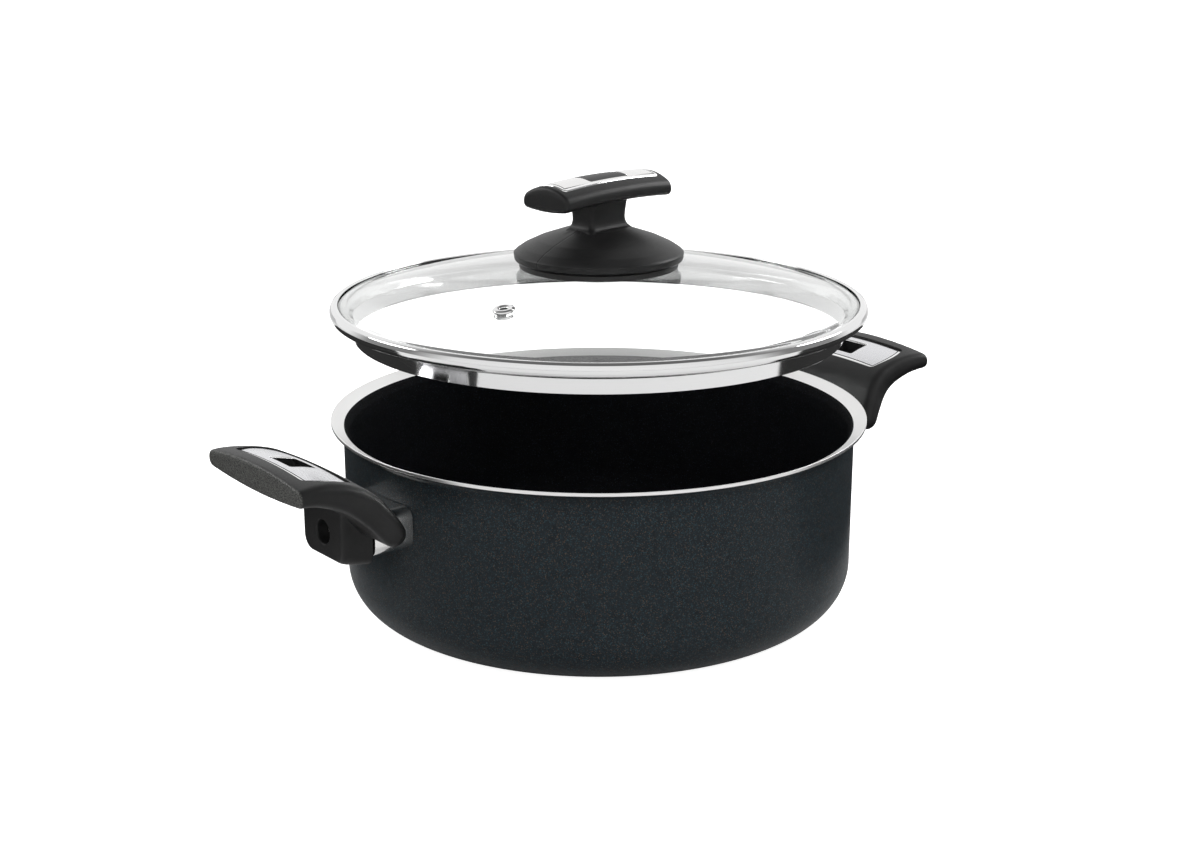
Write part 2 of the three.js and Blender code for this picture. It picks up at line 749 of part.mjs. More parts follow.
function lid() {
  const group = new THREE.Group();
  group.position.z = LID_LIFT;
  group.rotation.z = LID_TURN;
  group.add(lidGlass(), lidBand(), ventEyelet(), ventSeal());
  group.add(knobGasket(), knobBody(), knobPlate(), knobInsert());
  group.add(knobSeal(), knobWasher(), knobScrew());
  return group;
}

// ---- assembly ---------------------------------------------------------------------

const saucepan = new THREE.Group();
saucepan.add(potBody(), baseDisc());
saucepan.add(handle('right', 0), handle('left', Math.PI));
saucepan.add(lid());

export default saucepan;
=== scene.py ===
"""A low two-handled cooking pot with a lift-off glass lid, built around its fixed frame.

Lengths in the tables are millimetres; meshes are made in metres.
The handles lie along X, +Z is up, and the origin is under the middle of the base.
"""

import math

import bmesh
import bpy
from bpy.props import FloatProperty, FloatVectorProperty, IntProperty, PointerProperty
from mathutils import Matrix, Vector


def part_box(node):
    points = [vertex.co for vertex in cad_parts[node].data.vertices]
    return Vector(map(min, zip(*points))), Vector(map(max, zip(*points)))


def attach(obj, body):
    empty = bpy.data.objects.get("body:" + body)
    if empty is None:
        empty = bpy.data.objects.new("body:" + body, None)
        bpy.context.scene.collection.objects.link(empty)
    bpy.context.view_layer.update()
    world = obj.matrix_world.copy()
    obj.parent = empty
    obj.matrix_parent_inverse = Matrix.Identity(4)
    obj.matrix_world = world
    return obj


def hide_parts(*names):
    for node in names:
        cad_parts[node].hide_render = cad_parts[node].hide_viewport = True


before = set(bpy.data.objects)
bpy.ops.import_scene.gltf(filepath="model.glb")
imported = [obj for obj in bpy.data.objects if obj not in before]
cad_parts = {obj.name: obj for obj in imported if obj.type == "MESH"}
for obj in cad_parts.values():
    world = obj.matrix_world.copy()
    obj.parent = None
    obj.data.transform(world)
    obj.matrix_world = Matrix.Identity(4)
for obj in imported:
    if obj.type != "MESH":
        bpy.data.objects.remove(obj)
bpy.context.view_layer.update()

bl_info = {
    "name": "Two-handled cooking pot",
    "version": (1, 0, 0),
    "blender": (4, 5, 0),
    "location": "View3D > Sidebar > Cooking pot",
    "description": "Builds a coated cooking pot with moulded handles and a glass lid",
    "category": "Object",
}

MM = 0.001

# ---- places taken from the frame, in millimetres -----------------------------------

POT_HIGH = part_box("pot_body")[1] / MM
LIP_R = POT_HIGH.x
RIM_Z = POT_HIGH.z
GRIP_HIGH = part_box("handle_grip_right")[1] / MM
GLASS_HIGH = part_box("lid_glass")[1] / MM
SCREW_LOW, SCREW_HIGH = (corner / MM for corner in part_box("handle_screw_right"))
AXIS_Z = (SCREW_LOW.z + SCREW_HIGH.z) / 2
GUARD_LOW, GUARD_HIGH = (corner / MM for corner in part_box("flame_guard_right"))
GUARD_MID_Z = (GUARD_HIGH.z + GUARD_LOW.z) / 2
GUARD_HALF_Z = (GUARD_HIGH.z - GUARD_LOW.z) / 2
VENT_MIDDLE = sum(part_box("vent_eyelet"), Vector()) / (2 * MM)

# ---- sizes, in millimetres ----------------------------------------------------------

GAP = 0.3
WALL = 3.6
POT_INNER_R = 120.0
POT_OUTER_R = POT_INNER_R + WALL
FOOT_Z = 0.4
FLOOR_Z = 8.0
OUTER_CORNER_R = 22.7
INNER_CORNER_R = 20.0
DISC_R = 98.0
DISC_THICK = 4.0
LIP_THICK = 1.7
FLARE_IN_Z = RIM_Z - 3.2

CROWN_Z = 117.5                  # height of the dome when the lid sits on the rim
LID_LIFT = GLASS_HIGH.z - CROWN_Z
LID_TURN = math.radians(8.8)
DOME_R = 121.5
DOME_DROP = 17.65
GLASS_THICK = 3.6
GLASS_EDGE_R = 125.4
VENT_R = 80.0
VENT_TURN = math.atan2(VENT_MIDDLE.y, VENT_MIDDLE.x)

KNOB_LOW_Z = 119.2
KNOB_RIDGE_Z = 123.0
KNOB_NECK_Z = 135.2
KNOB_R = 40.4
GASKET_R = 37.5
BAR_HALF_X = 36.3
BAR_HALF_Y = 14.8
BAR_MID_Z = 151.6
BAR_SIDE_HALF = 2.7
BAR_CROWN = 5.1
BAR_BELLY = 1.3
BAR_DROOP = 1.6
STEM_HALF_X = 12.0
STEM_HALF_Y = 6.8
KNOB_PLATE_HALF_X = 32.5
KNOB_PLATE_HALF_Y = 9.2
KNOB_PLATE_THICK = 1.2
PAD_HALF_X = 12.6
PAD_HALF_Y = 7.2

BOSS_IN_X = GUARD_HIGH.x + GAP
BOSS_OUT_X = 156.0
WING_OUT_X = GRIP_HIGH.x
PLATE_IN_X = 158.1
PLATE_OUT_X = 181.4
PLATE_IN_Z = 96.4
PLATE_OUT_Z = 101.9
PLATE_IN_HALF = 30.6
PLATE_OUT_HALF = 30.2
PLATE_ARCH = 1.5
PLATE_SWELL = 1.4
PLATE_SIDE_BOW = 1.7
PLATE_CORNER_R = 3.0
PLATE_THICK = 1.3
WINDOW_X = 169.4
WINDOW_HALF_X = 6.3
WINDOW_HALF_Y = 9.6

# x, z, tilt, half width, half side, crown, belly, inset of each wing section
WING_SECTIONS = (
    (141.2, 69.6, 56, 41.8, 1.6, 0.0, 0.0, 0.0),
    (142.3, 71.0, 56, 44.0, 4.4, 0.0, 0.0, 0.0),
    (144.6, 74.2, 54, 45.0, 5.7, 0.2, 0.0, 0.0),
    (148.8, 80.2, 50, 43.2, 6.1, 0.4, 0.0, 0.0),
    (154.4, 86.6, 41, 40.8, 6.5, 1.0, 0.2, 0.0),
    (161.0, 91.2, 29, 39.2, 6.2, 1.5, 0.4, 0.0),
    (169.0, 94.5, 18, 38.8, 5.6, 1.6, 1.0, 0.0),
    (178.0, 96.9, 8, 39.6, 4.6, 2.2, 1.7, 0.0),
    (184.2, 97.7, 3, 40.5, 4.0, 2.8, 2.0, 0.0),
    (WING_OUT_X - 1.0, 97.8, 0, 41.0, 3.5, 3.3, 2.2, 0.0),
    (WING_OUT_X - 0.3, 97.8, 0, 41.0, 3.5, 3.3, 2.2, 0.35),
    (WING_OUT_X, 97.8, 0, 41.0, 3.5, 3.3, 2.2, 1.1),
)

# x, half width, low z, high z of each boss section
BOSS_SECTIONS = (
    (BOSS_IN_X, 20.0, 52.4, 77.0),
    (149.0, 18.4, 53.0, 82.0),
    (BOSS_OUT_X - 1.5, 17.6, 54.4, 86.0),
    (BOSS_OUT_X, 16.4, 55.8, 86.0),
)


# ---- outlines -------------------------------------------------------------------------


def arc(centre_a, centre_b, radius, start, end, steps):
    """Points along an arc, with its angles in degrees."""
    points = []
    for i in range(steps + 1):
        angle = math.radians(start + (end - start) * i / steps)
        points.append((centre_a + radius * math.cos(angle), centre_b + radius * math.sin(angle)))
    return points


def filleted(corners, steps=5):
    """A closed outline through (a, b, fillet radius) corners, with each corner rounded."""
    points = []
    for i, (a, b, radius) in enumerate(corners):
        here = Vector((a, b))
        back = Vector(corners[i - 1][:2]) - here
        ahead = Vector(corners[(i + 1) % len(corners)][:2]) - here
        if radius == 0 or back.length < 1e-9 or ahead.length < 1e-9:
            points.append((a, b))
            continue
        half = back.angle(ahead) / 2
        reach = min(radius / math.tan(half), 0.48 * back.length, 0.48 * ahead.length)
        start = here + back.normalized() * reach
        end = here + ahead.normalized() * reach
        for k in range(steps + 1):
            t = k / steps
            point = (1 - t) ** 2 * start + 2 * t * (1 - t) * here + t * t * end
            points.append(tuple(point))
    return points


def joined(arcs, straights):
    """A closed outline through arcs; straights gives the steps and the bow of each line between two."""
    points = []
    for k, (steps, bow) in enumerate(straights):
        points += arcs[k]
        (from_a, from_b), (to_a, to_b) = arcs[k][-1], arcs[(k + 1) % len(arcs)][0]
        for i in range(1, steps):
            t = i / steps
            level = from_b + (to_b - from_b) * t
            points.append((from_a + (to_a - from_a) * t, level + bow * 4 * t * (1 - t)))
    return points


def rounded_rectangle(half_a, half_b, radius, corner_steps=8, long_steps=24, side_steps=6):
    """Points round a rectangle with rounded corners, anticlockwise."""
    arcs = []
    for sign_a, sign_b, start in ((1, 1, 0), (-1, 1, 90), (-1, -1, 180), (1, -1, 270)):
        centre = (sign_a * (half_a - radius), sign_b * (half_b - radius))
        arcs.append(arc(*centre, radius, start, start + 90, corner_steps))
    return joined(arcs, [(long_steps, 0), (side_steps, 0)] * 2)


# ---- meshes ---------------------------------------------------------------------------


def link(name, mesh):
    piece = bpy.data.objects.new(name, mesh)
    bpy.context.scene.collection.objects.link(piece)
    return piece


def mesh_from(name, points, faces):
    """A mesh from points in millimetres."""
    mesh = bpy.data.meshes.new(name)
    mesh.from_pydata([tuple(c * MM for c in point) for point in points], [], faces)
    mesh.update()
    return mesh


def tidy(mesh, sharp=35.0):
    """Merges doubles, turns the faces outwards and shades the mesh smooth between sharp edges."""
    work = bmesh.new()
    work.from_mesh(mesh)
    bmesh.ops.remove_doubles(work, verts=work.verts, dist=1e-7)
    bmesh.ops.dissolve_degenerate(work, dist=1e-8, edges=work.edges)
    bmesh.ops.recalc_face_normals(work, faces=work.faces)
    work.to_mesh(mesh)
    work.free()
    mesh.shade_smooth()
    mesh.set_sharp_from_angle(angle=math.radians(sharp))
    return mesh


def settled(piece):
    """Replaces an object by one without modifiers that has its final mesh."""
    bpy.context.view_layer.update()
    seen = piece.evaluated_get(bpy.context.evaluated_depsgraph_get())
    mesh = bpy.data.meshes.new_from_object(seen)
    name = piece.name
    piece.name = name + "_source"
    made = link(name, mesh)
    bpy.data.objects.remove(piece)
    return made


def skin(name, rings, ends="fans"):
    """A piece with a skin over rings that have the same number of points.

    Its ends are closed by fans, or joined to each other.
    """
    count = len(rings[0])
    points = [point for ring in rings for point in ring]
    faces = []
    last = len(rings) if ends == "joined" else len(rings) - 1
    for j in range(last):
        low, high = j * count, (j + 1) % len(rings) * count
        for i in range(count):
            k = (i + 1) % count
            faces.append((low + i, low + k, high + k, high + i))
    if ends == "fans":
        for ring, start in ((rings[0], 0), (rings[-1], (len(rings) - 1) * count)):
            middle = tuple(sum(point[axis] for point in ring) / count for axis in range(3))
            points.append(middle)
            centre = len(points) - 1
            faces += [(centre, start + (i + 1) % count, start + i) for i in range(count)]
    return link(name, tidy(mesh_from(name, points, faces)))


def eased(rings, pieces):
    """More rings between the given ones, on a smooth path through them."""
    made = []
    for j in range(len(rings) - 1):
        before, here = rings[max(j - 1, 0)], rings[j]
        ahead, after = rings[j + 1], rings[min(j + 2, len(rings) - 1)]
        for step in range(pieces):
            t = step / pieces
            made.append([catmull(a, b, c, d, t) for a, b, c, d in zip(before, here, ahead, after)])
    made.append(rings[-1])
    return made


def catmull(a, b, c, d, t):
    return tuple(
        0.5 * (2 * q + (r - p) * t + (2 * p - 5 * q + 4 * r - s) * t * t + (3 * q - p - 3 * r + s) * t ** 3)
        for p, q, r, s in zip(a, b, c, d)
    )


def cut(piece, tools, operation="DIFFERENCE"):
    """Takes each tool away from the piece, or joins it, and removes the tools."""
    for tool in tools:
        change = piece.modifiers.new(tool.name, "BOOLEAN")
        change.operation = operation
        change.solver = "MANIFOLD"
        change.object = tool
    made = settled(piece)
    for tool in tools:
        bpy.data.objects.remove(tool)
    return made


def moulded(piece, voxel, rounds):
    """Softens every edge and joint of a solid as a moulding's are."""
    remesh = piece.modifiers.new("fill", "REMESH")
    remesh.mode = "VOXEL"
    remesh.voxel_size = voxel
    smooth = piece.modifiers.new("soften", "SMOOTH")
    smooth.factor = 0.5
    smooth.iterations = rounds
    return settled(piece)


def place(piece, body, slot, *nodes):
    """Sets a finished piece on its body, in the place of its frame nodes."""
    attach(piece, body)
    if nodes:
        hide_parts(*nodes)
    return piece


def place_pair(piece, slot, node):
    """Sets a right-hand piece and its copy for the left on the pot, in the place of both nodes."""
    other = link(piece.name.replace("right", "left"), piece.data.copy())
    other.data.transform(Matrix.Rotation(math.pi, 4, "Z"))
    place(piece, "pot", slot, node + "_right")
    place(other, "pot", slot, node + "_left")


def dress(piece, *materials):
    piece.data.materials.clear()
    for material in materials:
        piece.data.materials.append(material)


def zoned(piece, zone_of):
    """Gives each face the material number that zone_of(radius, height, outward, upward) says."""
    for face in piece.data.polygons:
        middle = face.center / MM
        radius = math.hypot(middle.x, middle.y)
        outward = (face.normal.x * middle.x + face.normal.y * middle.y) / max(radius, 1e-6)
        face.material_index = zone_of(radius, middle.z, outward, face.normal.z)


# ---- geometry node trees -----------------------------------------------------------------


def new_tree(name, sockets):
    tree = bpy.data.node_groups.new(name, "GeometryNodeTree")
    for label, kind in sockets:
        tree.interface.new_socket(label, in_out="INPUT", socket_type=kind)
    tree.interface.new_socket("Geometry", in_out="OUTPUT", socket_type="NodeSocketGeometry")
    return tree, tree.nodes.new("NodeGroupInput"), tree.nodes.new("NodeGroupOutput")


def chain(tree, start, *kinds):
    """Nodes joined one behind the other by their first sockets."""
    made = []
    for kind in kinds:
        step = tree.nodes.new(kind)
        tree.links.new(start, step.inputs[0])
        start = step.outputs[0]
        made.append(step)
    return made


def ended(tree, given, made, geometry):
    """Makes the copies real, gives them the tree's material and joins them to its output."""
    _, dressed = chain(tree, geometry, "GeometryNodeRealizeInstances", "GeometryNodeSetMaterial")
    tree.links.new(given.outputs["Material"], dressed.inputs["Material"])
    tree.links.new(dressed.outputs[0], made.inputs[0])
    return tree


def run_tree(piece, tree, **values):
    """Adds the tree to the piece with its named inputs, and settles the result."""
    change = piece.modifiers.new(tree.name, "NODES")
    change.node_group = tree
    for item in tree.interface.items_tree:
        if item.in_out == "INPUT" and item.name.replace(" ", "_") in values:
            change[item.identifier] = values[item.name.replace(" ", "_")]
    return settled(piece)


def turning_tree():
    """Turns the outline in the object's mesh about Z: x is the radius less Rail Radius, y the height."""
    sockets = (
        ("Outline", "NodeSocketGeometry"),
        ("Facets", "NodeSocketInt"),
        ("Rail Radius", "NodeSocketFloat"),
        ("Material", "NodeSocketMaterial"),
    )
    tree, given, made = new_tree("turned piece", sockets)
    outline = chain(tree, given.outputs["Outline"], "GeometryNodeMeshToCurve")[0]
    rail = tree.nodes.new("GeometryNodeCurvePrimitiveCircle")
    tree.links.new(given.outputs["Facets"], rail.inputs["Resolution"])
    tree.links.new(given.outputs["Rail Radius"], rail.inputs["Radius"])
    sweep = tree.nodes.new("GeometryNodeCurveToMesh")
    tree.links.new(rail.outputs["Curve"], sweep.inputs["Curve"])
    tree.links.new(outline.outputs[0], sweep.inputs["Profile Curve"])
    return ended(tree, given, made, sweep.outputs[0])


def repeating_tree():
    """Sets a copy of Pattern on each point of the object's mesh, turned to the point's facing."""
    sockets = (
        ("Points", "NodeSocketGeometry"),
        ("Pattern", "NodeSocketObject"),
        ("Material", "NodeSocketMaterial"),
    )
    tree, given, made = new_tree("repeated piece", sockets)
    pattern = tree.nodes.new("GeometryNodeObjectInfo")
    tree.links.new(given.outputs["Pattern"], pattern.inputs["Object"])
    facing = tree.nodes.new("GeometryNodeInputNamedAttribute")
    facing.data_type = "FLOAT_VECTOR"
    facing.inputs["Name"].default_value = "facing"
    turn = tree.nodes.new("FunctionNodeAlignRotationToVector")
    turn.axis = "Z"
    tree.links.new(facing.outputs["Attribute"], turn.inputs["Vector"])
    copies = tree.nodes.new("GeometryNodeInstanceOnPoints")
    tree.links.new(given.outputs["Points"], copies.inputs["Points"])
    tree.links.new(pattern.outputs["Geometry"], copies.inputs["Instance"])
    tree.links.new(turn.outputs["Rotation"], copies.inputs["Rotation"])
    return ended(tree, given, made, copies.outputs[0])


TREES = {}
RAIL_R = 50.0                    # radius of the circle that carries a turned piece's outline


def turned(name, outline, facets, material):
    """A piece turned about Z from a closed outline of (radius, height) points."""
    if "turned" not in TREES:
        TREES["turned"] = turning_tree()
    count = len(outline)
    mesh = bpy.data.meshes.new(name)
    verts = [((r - RAIL_R) * MM, -z * MM, 0) for r, z in outline]
    edges = [(i, (i + 1) % count) for i in range(count)]
    if outline[0][0] == 0 and outline[-1][0] == 0:
        edges.pop()
    mesh.from_pydata(verts, edges, [])
    values = {"Facets": facets, "Rail_Radius": RAIL_R * MM, "Material": material}
    made = run_tree(link(name, mesh), TREES["turned"], **values)
    tidy(made.data)
    return made


def repeated(name, pattern, places, material):
    """One piece with a copy of the pattern at each (place, facing), in millimetres."""
    if "repeated" not in TREES:
        TREES["repeated"] = repeating_tree()
    mesh = mesh_from(name, [spot for spot, _ in places], [])
    facing = mesh.attributes.new("facing", "FLOAT_VECTOR", "POINT")
    for value, (_, direction) in zip(facing.data, places):
        value.vector = direction
    values = {"Pattern": pattern, "Material": material}
    made = run_tree(link(name, mesh), TREES["repeated"], **values)
    bpy.data.objects.remove(pattern)
    tidy(made.data)
    return made


# ---- materials ---------------------------------------------------------------------------


def add(tree, kind, inputs=(), **settings):
    """A shader node with its settings, and its inputs by name as values or as sockets to join."""
    step = tree.nodes.new(kind)
    for key, value in settings.items():
        setattr(step, key, value)
    for key, value in dict(inputs).items():
        socket = step.inputs[key]
        if isinstance(value, bpy.types.NodeSocket):
            tree.links.new(value, socket)
        else:
            socket.default_value = value
    return step


def surface(name, **constants):
    """A new material: its tree, its Principled node and its object coordinates."""
    material = bpy.data.materials.new(name)
    material.use_nodes = True
    tree = material.node_tree
    shader = tree.nodes["Principled BSDF"]
    for key, value in constants.items():
        shader.inputs[key.replace("_", " ")].default_value = value
    coords = add(tree, "ShaderNodeTexCoord").outputs["Object"]
    return material, tree, shader, coords


def noise(tree, coords, scale, detail=2.0, stretch=(1, 1, 1)):
    """Soft noise with this many cells to the metre."""
    if stretch != (1, 1, 1):
        coords = add(tree, "ShaderNodeMapping", {"Vector": coords, "Scale": stretch}).outputs[0]
    inputs = {"Vector": coords, "Scale": scale, "Detail": detail}
    return add(tree, "ShaderNodeTexNoise", inputs).outputs[0]


def ranged(tree, value, low, high, from_low=0.3, from_high=0.7):
    """Maps the range that noise mostly fills, or another one, to low and high."""
    inputs = {"Value": value, "From Min": from_low, "From Max": from_high, "To Min": low, "To Max": high}
    return add(tree, "ShaderNodeMapRange", inputs).outputs[0]


def mixed(tree, share, first, second):
    """A colour between two others."""
    return add(tree, "ShaderNodeMix", {0: share, 6: first, 7: second}, data_type="RGBA").outputs[2]


def worked(tree, operation, *values):
    """The result of one sum."""
    return add(tree, "ShaderNodeMath", dict(enumerate(values)), operation=operation).outputs[0]


def along(tree, coords, direction):
    """How far a place lies along a direction."""
    inputs = {0: coords, 1: direction}
    return add(tree, "ShaderNodeVectorMath", inputs, operation="DOT_PRODUCT").outputs["Value"]


def relief(tree, height, distance, strength=1.0):
    """A bumped normal, its depth in metres."""
    inputs = {"Height": height, "Distance": distance, "Strength": strength}
    return add(tree, "ShaderNodeBump", inputs).outputs[0]


def join(tree, shader, **sockets):
    """Joins node results to the shader's inputs."""
    for key, value in sockets.items():
        tree.links.new(value, shader.inputs[key.replace("_", " ")])


def rgb(red, green, blue):
    return (red, green, blue, 1.0)


def speckled(name, base, cool, warm, share, roughness, shine):
    """A coating with fine metal flakes in it: most are cool, some warm."""
    material, tree, shader, coords = surface(name, Specular_IOR_Level=shine)
    inputs = {"Vector": coords, "Scale": FLAKES_TO_METRE}
    cells = add(tree, "ShaderNodeTexVoronoi", inputs, feature="F1").outputs["Color"]
    chance = add(tree, "ShaderNodeSeparateColor", {"Color": cells}).outputs
    lit = ranged(tree, chance[0], 0.0, 1.0, 1 - share, 1.0)
    tint = ranged(tree, chance[1], 0.0, 1.0, 0.62, 0.68)
    clouds = ranged(tree, noise(tree, coords, 260.0, 3.0), 0.75, 1.25)
    ground = mixed(tree, clouds, rgb(0, 0, 0), base)
    flakes = mixed(tree, tint, cool, warm)
    join(tree, shader, Base_Color=mixed(tree, lit, ground, flakes))
    join(tree, shader, Roughness=ranged(tree, noise(tree, coords, 900.0), *roughness))
    join(tree, shader, Normal=relief(tree, noise(tree, coords, 1400.0), 0.00003, 0.6))
    return material


def ground_metal(name, tone, roughness, lines=2600.0, depth=0.000012):
    """Metal with the fine rings that turning leaves."""
    material, tree, shader, coords = surface(name, Metallic=1.0)
    x, y, z = add(tree, "ShaderNodeSeparateXYZ", {"Vector": coords}).outputs
    flat = add(tree, "ShaderNodeCombineXYZ", {"X": x, "Y": y}).outputs[0]
    radius = add(tree, "ShaderNodeVectorMath", {0: flat}, operation="LENGTH").outputs["Value"]
    inputs = {"W": worked(tree, "ADD", radius, z), "Scale": lines, "Detail": 3.0}
    rings = add(tree, "ShaderNodeTexNoise", inputs, noise_dimensions="1D").outputs[0]
    join(tree, shader, Base_Color=mixed(tree, rings, rgb(*(c * 0.93 for c in tone)), rgb(*tone)))
    join(tree, shader, Roughness=ranged(tree, rings, *roughness))
    join(tree, shader, Normal=relief(tree, rings, depth, 0.5))
    return material


def brushed(name, tone, roughness, stretch, depth=0.000008):
    """Steel with fine straight scratches."""
    material, tree, shader, coords = surface(name, Metallic=1.0)
    lines = noise(tree, coords, 1.0, 4.0, stretch)
    join(tree, shader, Base_Color=mixed(tree, lines, rgb(*(c * 0.94 for c in tone)), rgb(*tone)))
    join(tree, shader, Roughness=ranged(tree, lines, *roughness))
    join(tree, shader, Normal=relief(tree, lines, depth, 0.4))
    return material


def moulding(name, dark, light, grain, depth, roughness, shine=0.42, marks=None):
    """Satin moulded plastic with a fine spark grain, and with extra marks if it is given them: on the knob
    a hairline groove with painted shade, on the grips outer faces with coarser grain and a painted sheen.
    """
    material, tree, shader, coords = surface(name, Specular_IOR_Level=shine)
    fine = noise(tree, coords, grain, 4.0)
    tone = mixed(tree, ranged(tree, noise(tree, coords, 90.0, 3.0), 0.0, 1.0), dark, light)
    height = fine
    if marks:
        share, tint, height = marks(tree, coords, fine)
        tone = mixed(tree, share, tone, tint)
    join(tree, shader, Base_Color=tone)
    join(tree, shader, Roughness=ranged(tree, fine, *roughness))
    join(tree, shader, Normal=relief(tree, height, depth, 0.7))
    return material


def outer_face(tree, coords, fine):
    """The grips' outer faces: where they are, their spotted tones lifted as a painted sheen, and their
    coarser grain.
    """
    across = worked(tree, "ABSOLUTE", add(tree, "ShaderNodeSeparateXYZ", {"Vector": coords}).outputs[0])
    face = ranged(tree, across, 0.0, 1.0, *FACE_EDGE)
    coarse = noise(tree, coords, 1800.0, 2.0)
    spots_and_painted_sheen = mixed(tree, ranged(tree, coarse, 0.0, 1.0, 0.4, 0.62), FACE_DARK_WITH_SHEEN, FACE_LIGHT_WITH_SHEEN)
    return face, spots_and_painted_sheen, worked(tree, "MULTIPLY_ADD", worked(tree, "MULTIPLY", face, coarse), 3.0, fine)


def mould_line(tree, coords, fine):
    """The hairline groove where the knob's mould halves met, out from the stem and below the neck, with
    painted shade in it.
    """
    angle = math.radians(KNOB_LINE_TURN)
    side = along(tree, coords, (-math.sin(angle), math.cos(angle), 0))
    out = along(tree, coords, (math.cos(angle), math.sin(angle), 0))
    height = add(tree, "ShaderNodeSeparateXYZ", {"Vector": coords}).outputs[2]
    neck = (KNOB_NECK_Z + LID_LIFT) * MM
    line = ranged(tree, worked(tree, "ABSOLUTE", side), 1.0, 0.0, *LINE_SIDE)
    line = worked(tree, "MULTIPLY", line, ranged(tree, out, 0.0, 1.0, *LINE_START))
    line = worked(tree, "MULTIPLY", line, ranged(tree, height, 1.0, 0.0, neck, neck + 0.0005))
    return line, LINE_PAINTED_SHADE, worked(tree, "MULTIPLY_ADD", line, -4.0, fine)


def clear_glass():
    """Tempered glass that lets lamp light through."""
    constants = {"Transmission_Weight": 1.0, "Roughness": 0.0, "IOR": 1.5}
    material, tree, shader, coords = surface("clear_glass", **constants)
    shader.inputs["Base Color"].default_value = rgb(0.985, 0.995, 0.99)
    join(tree, shader, Normal=relief(tree, noise(tree, coords, 14.0, 1.0), 0.00004, 0.3))
    path = add(tree, "ShaderNodeLightPath").outputs["Is Shadow Ray"]
    through = add(tree, "ShaderNodeBsdfTransparent", {"Color": rgb(0.93, 0.95, 0.94)})
    mix = add(tree, "ShaderNodeMixShader", {0: path, 1: shader.outputs[0], 2: through.outputs[0]})
    tree.links.new(mix.outputs[0], tree.nodes["Material Output"].inputs["Surface"])
    return material


# tones, grain, depth, roughness and shine of the grips and the knob
SATIN_BLACK = (
    rgb(0.0085, 0.0085, 0.0087), rgb(0.013, 0.013, 0.0133), 2600.0, 0.00006, (0.36, 0.5), 0.26)
FACE_EDGE = (WING_OUT_X * MM - 0.0012, WING_OUT_X * MM - 0.0003)     # where an outer face fades in
# painted sheen: the outer faces' tones are lifted far above the grip's to stand in for the light those
# coarse faces catch
FACE_DARK_WITH_SHEEN = rgb(0.022, 0.022, 0.021)
FACE_LIGHT_WITH_SHEEN = rgb(0.135, 0.137, 0.129)
KNOB_LINE_TURN = 187.0
# painted shade: the near-black colour in the mould line's hairline groove
LINE_PAINTED_SHADE = rgb(0.0005, 0.0005, 0.0005)
LINE_SIDE = (0.0002, 0.00045)    # metres from the line's middle to its soft edges
LINE_START = (0.012, 0.0125)     # metres from the axis
FLAKES_TO_METRE = 2700.0

FINISHES = {
    "lacquer": lambda: speckled(
        "speckled_lacquer", rgb(0.0165, 0.0215, 0.0255), rgb(0.034, 0.064, 0.077),
        rgb(0.09, 0.066, 0.05), 0.28, (0.34, 0.42), 0.11),
    "nonstick": lambda: speckled(
        "nonstick_lining", rgb(0.0036, 0.0038, 0.0046), rgb(0.013, 0.016, 0.022),
        rgb(0.013, 0.010, 0.009), 0.14, (0.55, 0.7), 0.02),
    "rim": lambda: ground_metal("ground_rim", (0.86, 0.855, 0.85), (0.3, 0.42), 2600.0, 0.000003),
    "disc": lambda: ground_metal("turned_disc", (0.74, 0.745, 0.75), (0.3, 0.45), 1500.0, 0.00002),
    "stud": lambda: ground_metal("stud_metal", (0.7, 0.7, 0.71), (0.35, 0.5)),
    "mirror": lambda: ground_metal(
        "polished_steel", (0.82, 0.82, 0.82), (0.05, 0.11), 3000.0, 0.000002),
    "guard": lambda: brushed(
        "guard_steel", (0.86, 0.855, 0.845), (0.06, 0.14), (300, 3000, 3000), 0.000003),
    "satin": lambda: brushed(
        "satin_steel", (0.76, 0.76, 0.78), (0.24, 0.32), (4000, 250, 4000), 0.000003),
    "border": lambda: brushed(
        "border_steel", (0.95, 0.95, 0.95), (0.04, 0.09), (1500, 1500, 1500), 0.000002),
    # painted shade: the dark colour in the plates' fine groove stands in for the shade inside it
    "shadow": lambda: moulding(
        "blackened_line", rgb(0.01, 0.01, 0.011), rgb(0.02, 0.02, 0.021), 3000.0, 0.00002, (0.3, 0.5)),
    "grip": lambda: moulding("grip_moulding", *SATIN_BLACK, outer_face),
    "knob": lambda: moulding("knob_moulding", *SATIN_BLACK, mould_line),
    "silicone": lambda: moulding(
        "black_silicone", rgb(0.008, 0.008, 0.008), rgb(0.013, 0.013, 0.013), 1600.0, 0.00002, (0.4, 0.55)),
    "brass": lambda: ground_metal("insert_brass", (0.72, 0.55, 0.28), (0.25, 0.4)),
    "glass": clear_glass,
}
MADE = {}


def finish(key):
    """The finish of that name, made the first time that a piece asks for it."""
    if key not in MADE:
        MADE[key] = FINISHES[key]()
    return MADE[key]


# ---- shapes of the pot and the lid ---------------------------------------------------------


def on_corner(degrees, inset=0.0):
    """A point on the pot's outer bottom corner, from straight down at 0 to level at 90."""
    angle = math.radians(degrees - 90)
    radius = OUTER_CORNER_R - inset
    return (
        POT_OUTER_R - OUTER_CORNER_R + radius * math.cos(angle),
        FOOT_Z + OUTER_CORNER_R + radius * math.sin(angle),
    )


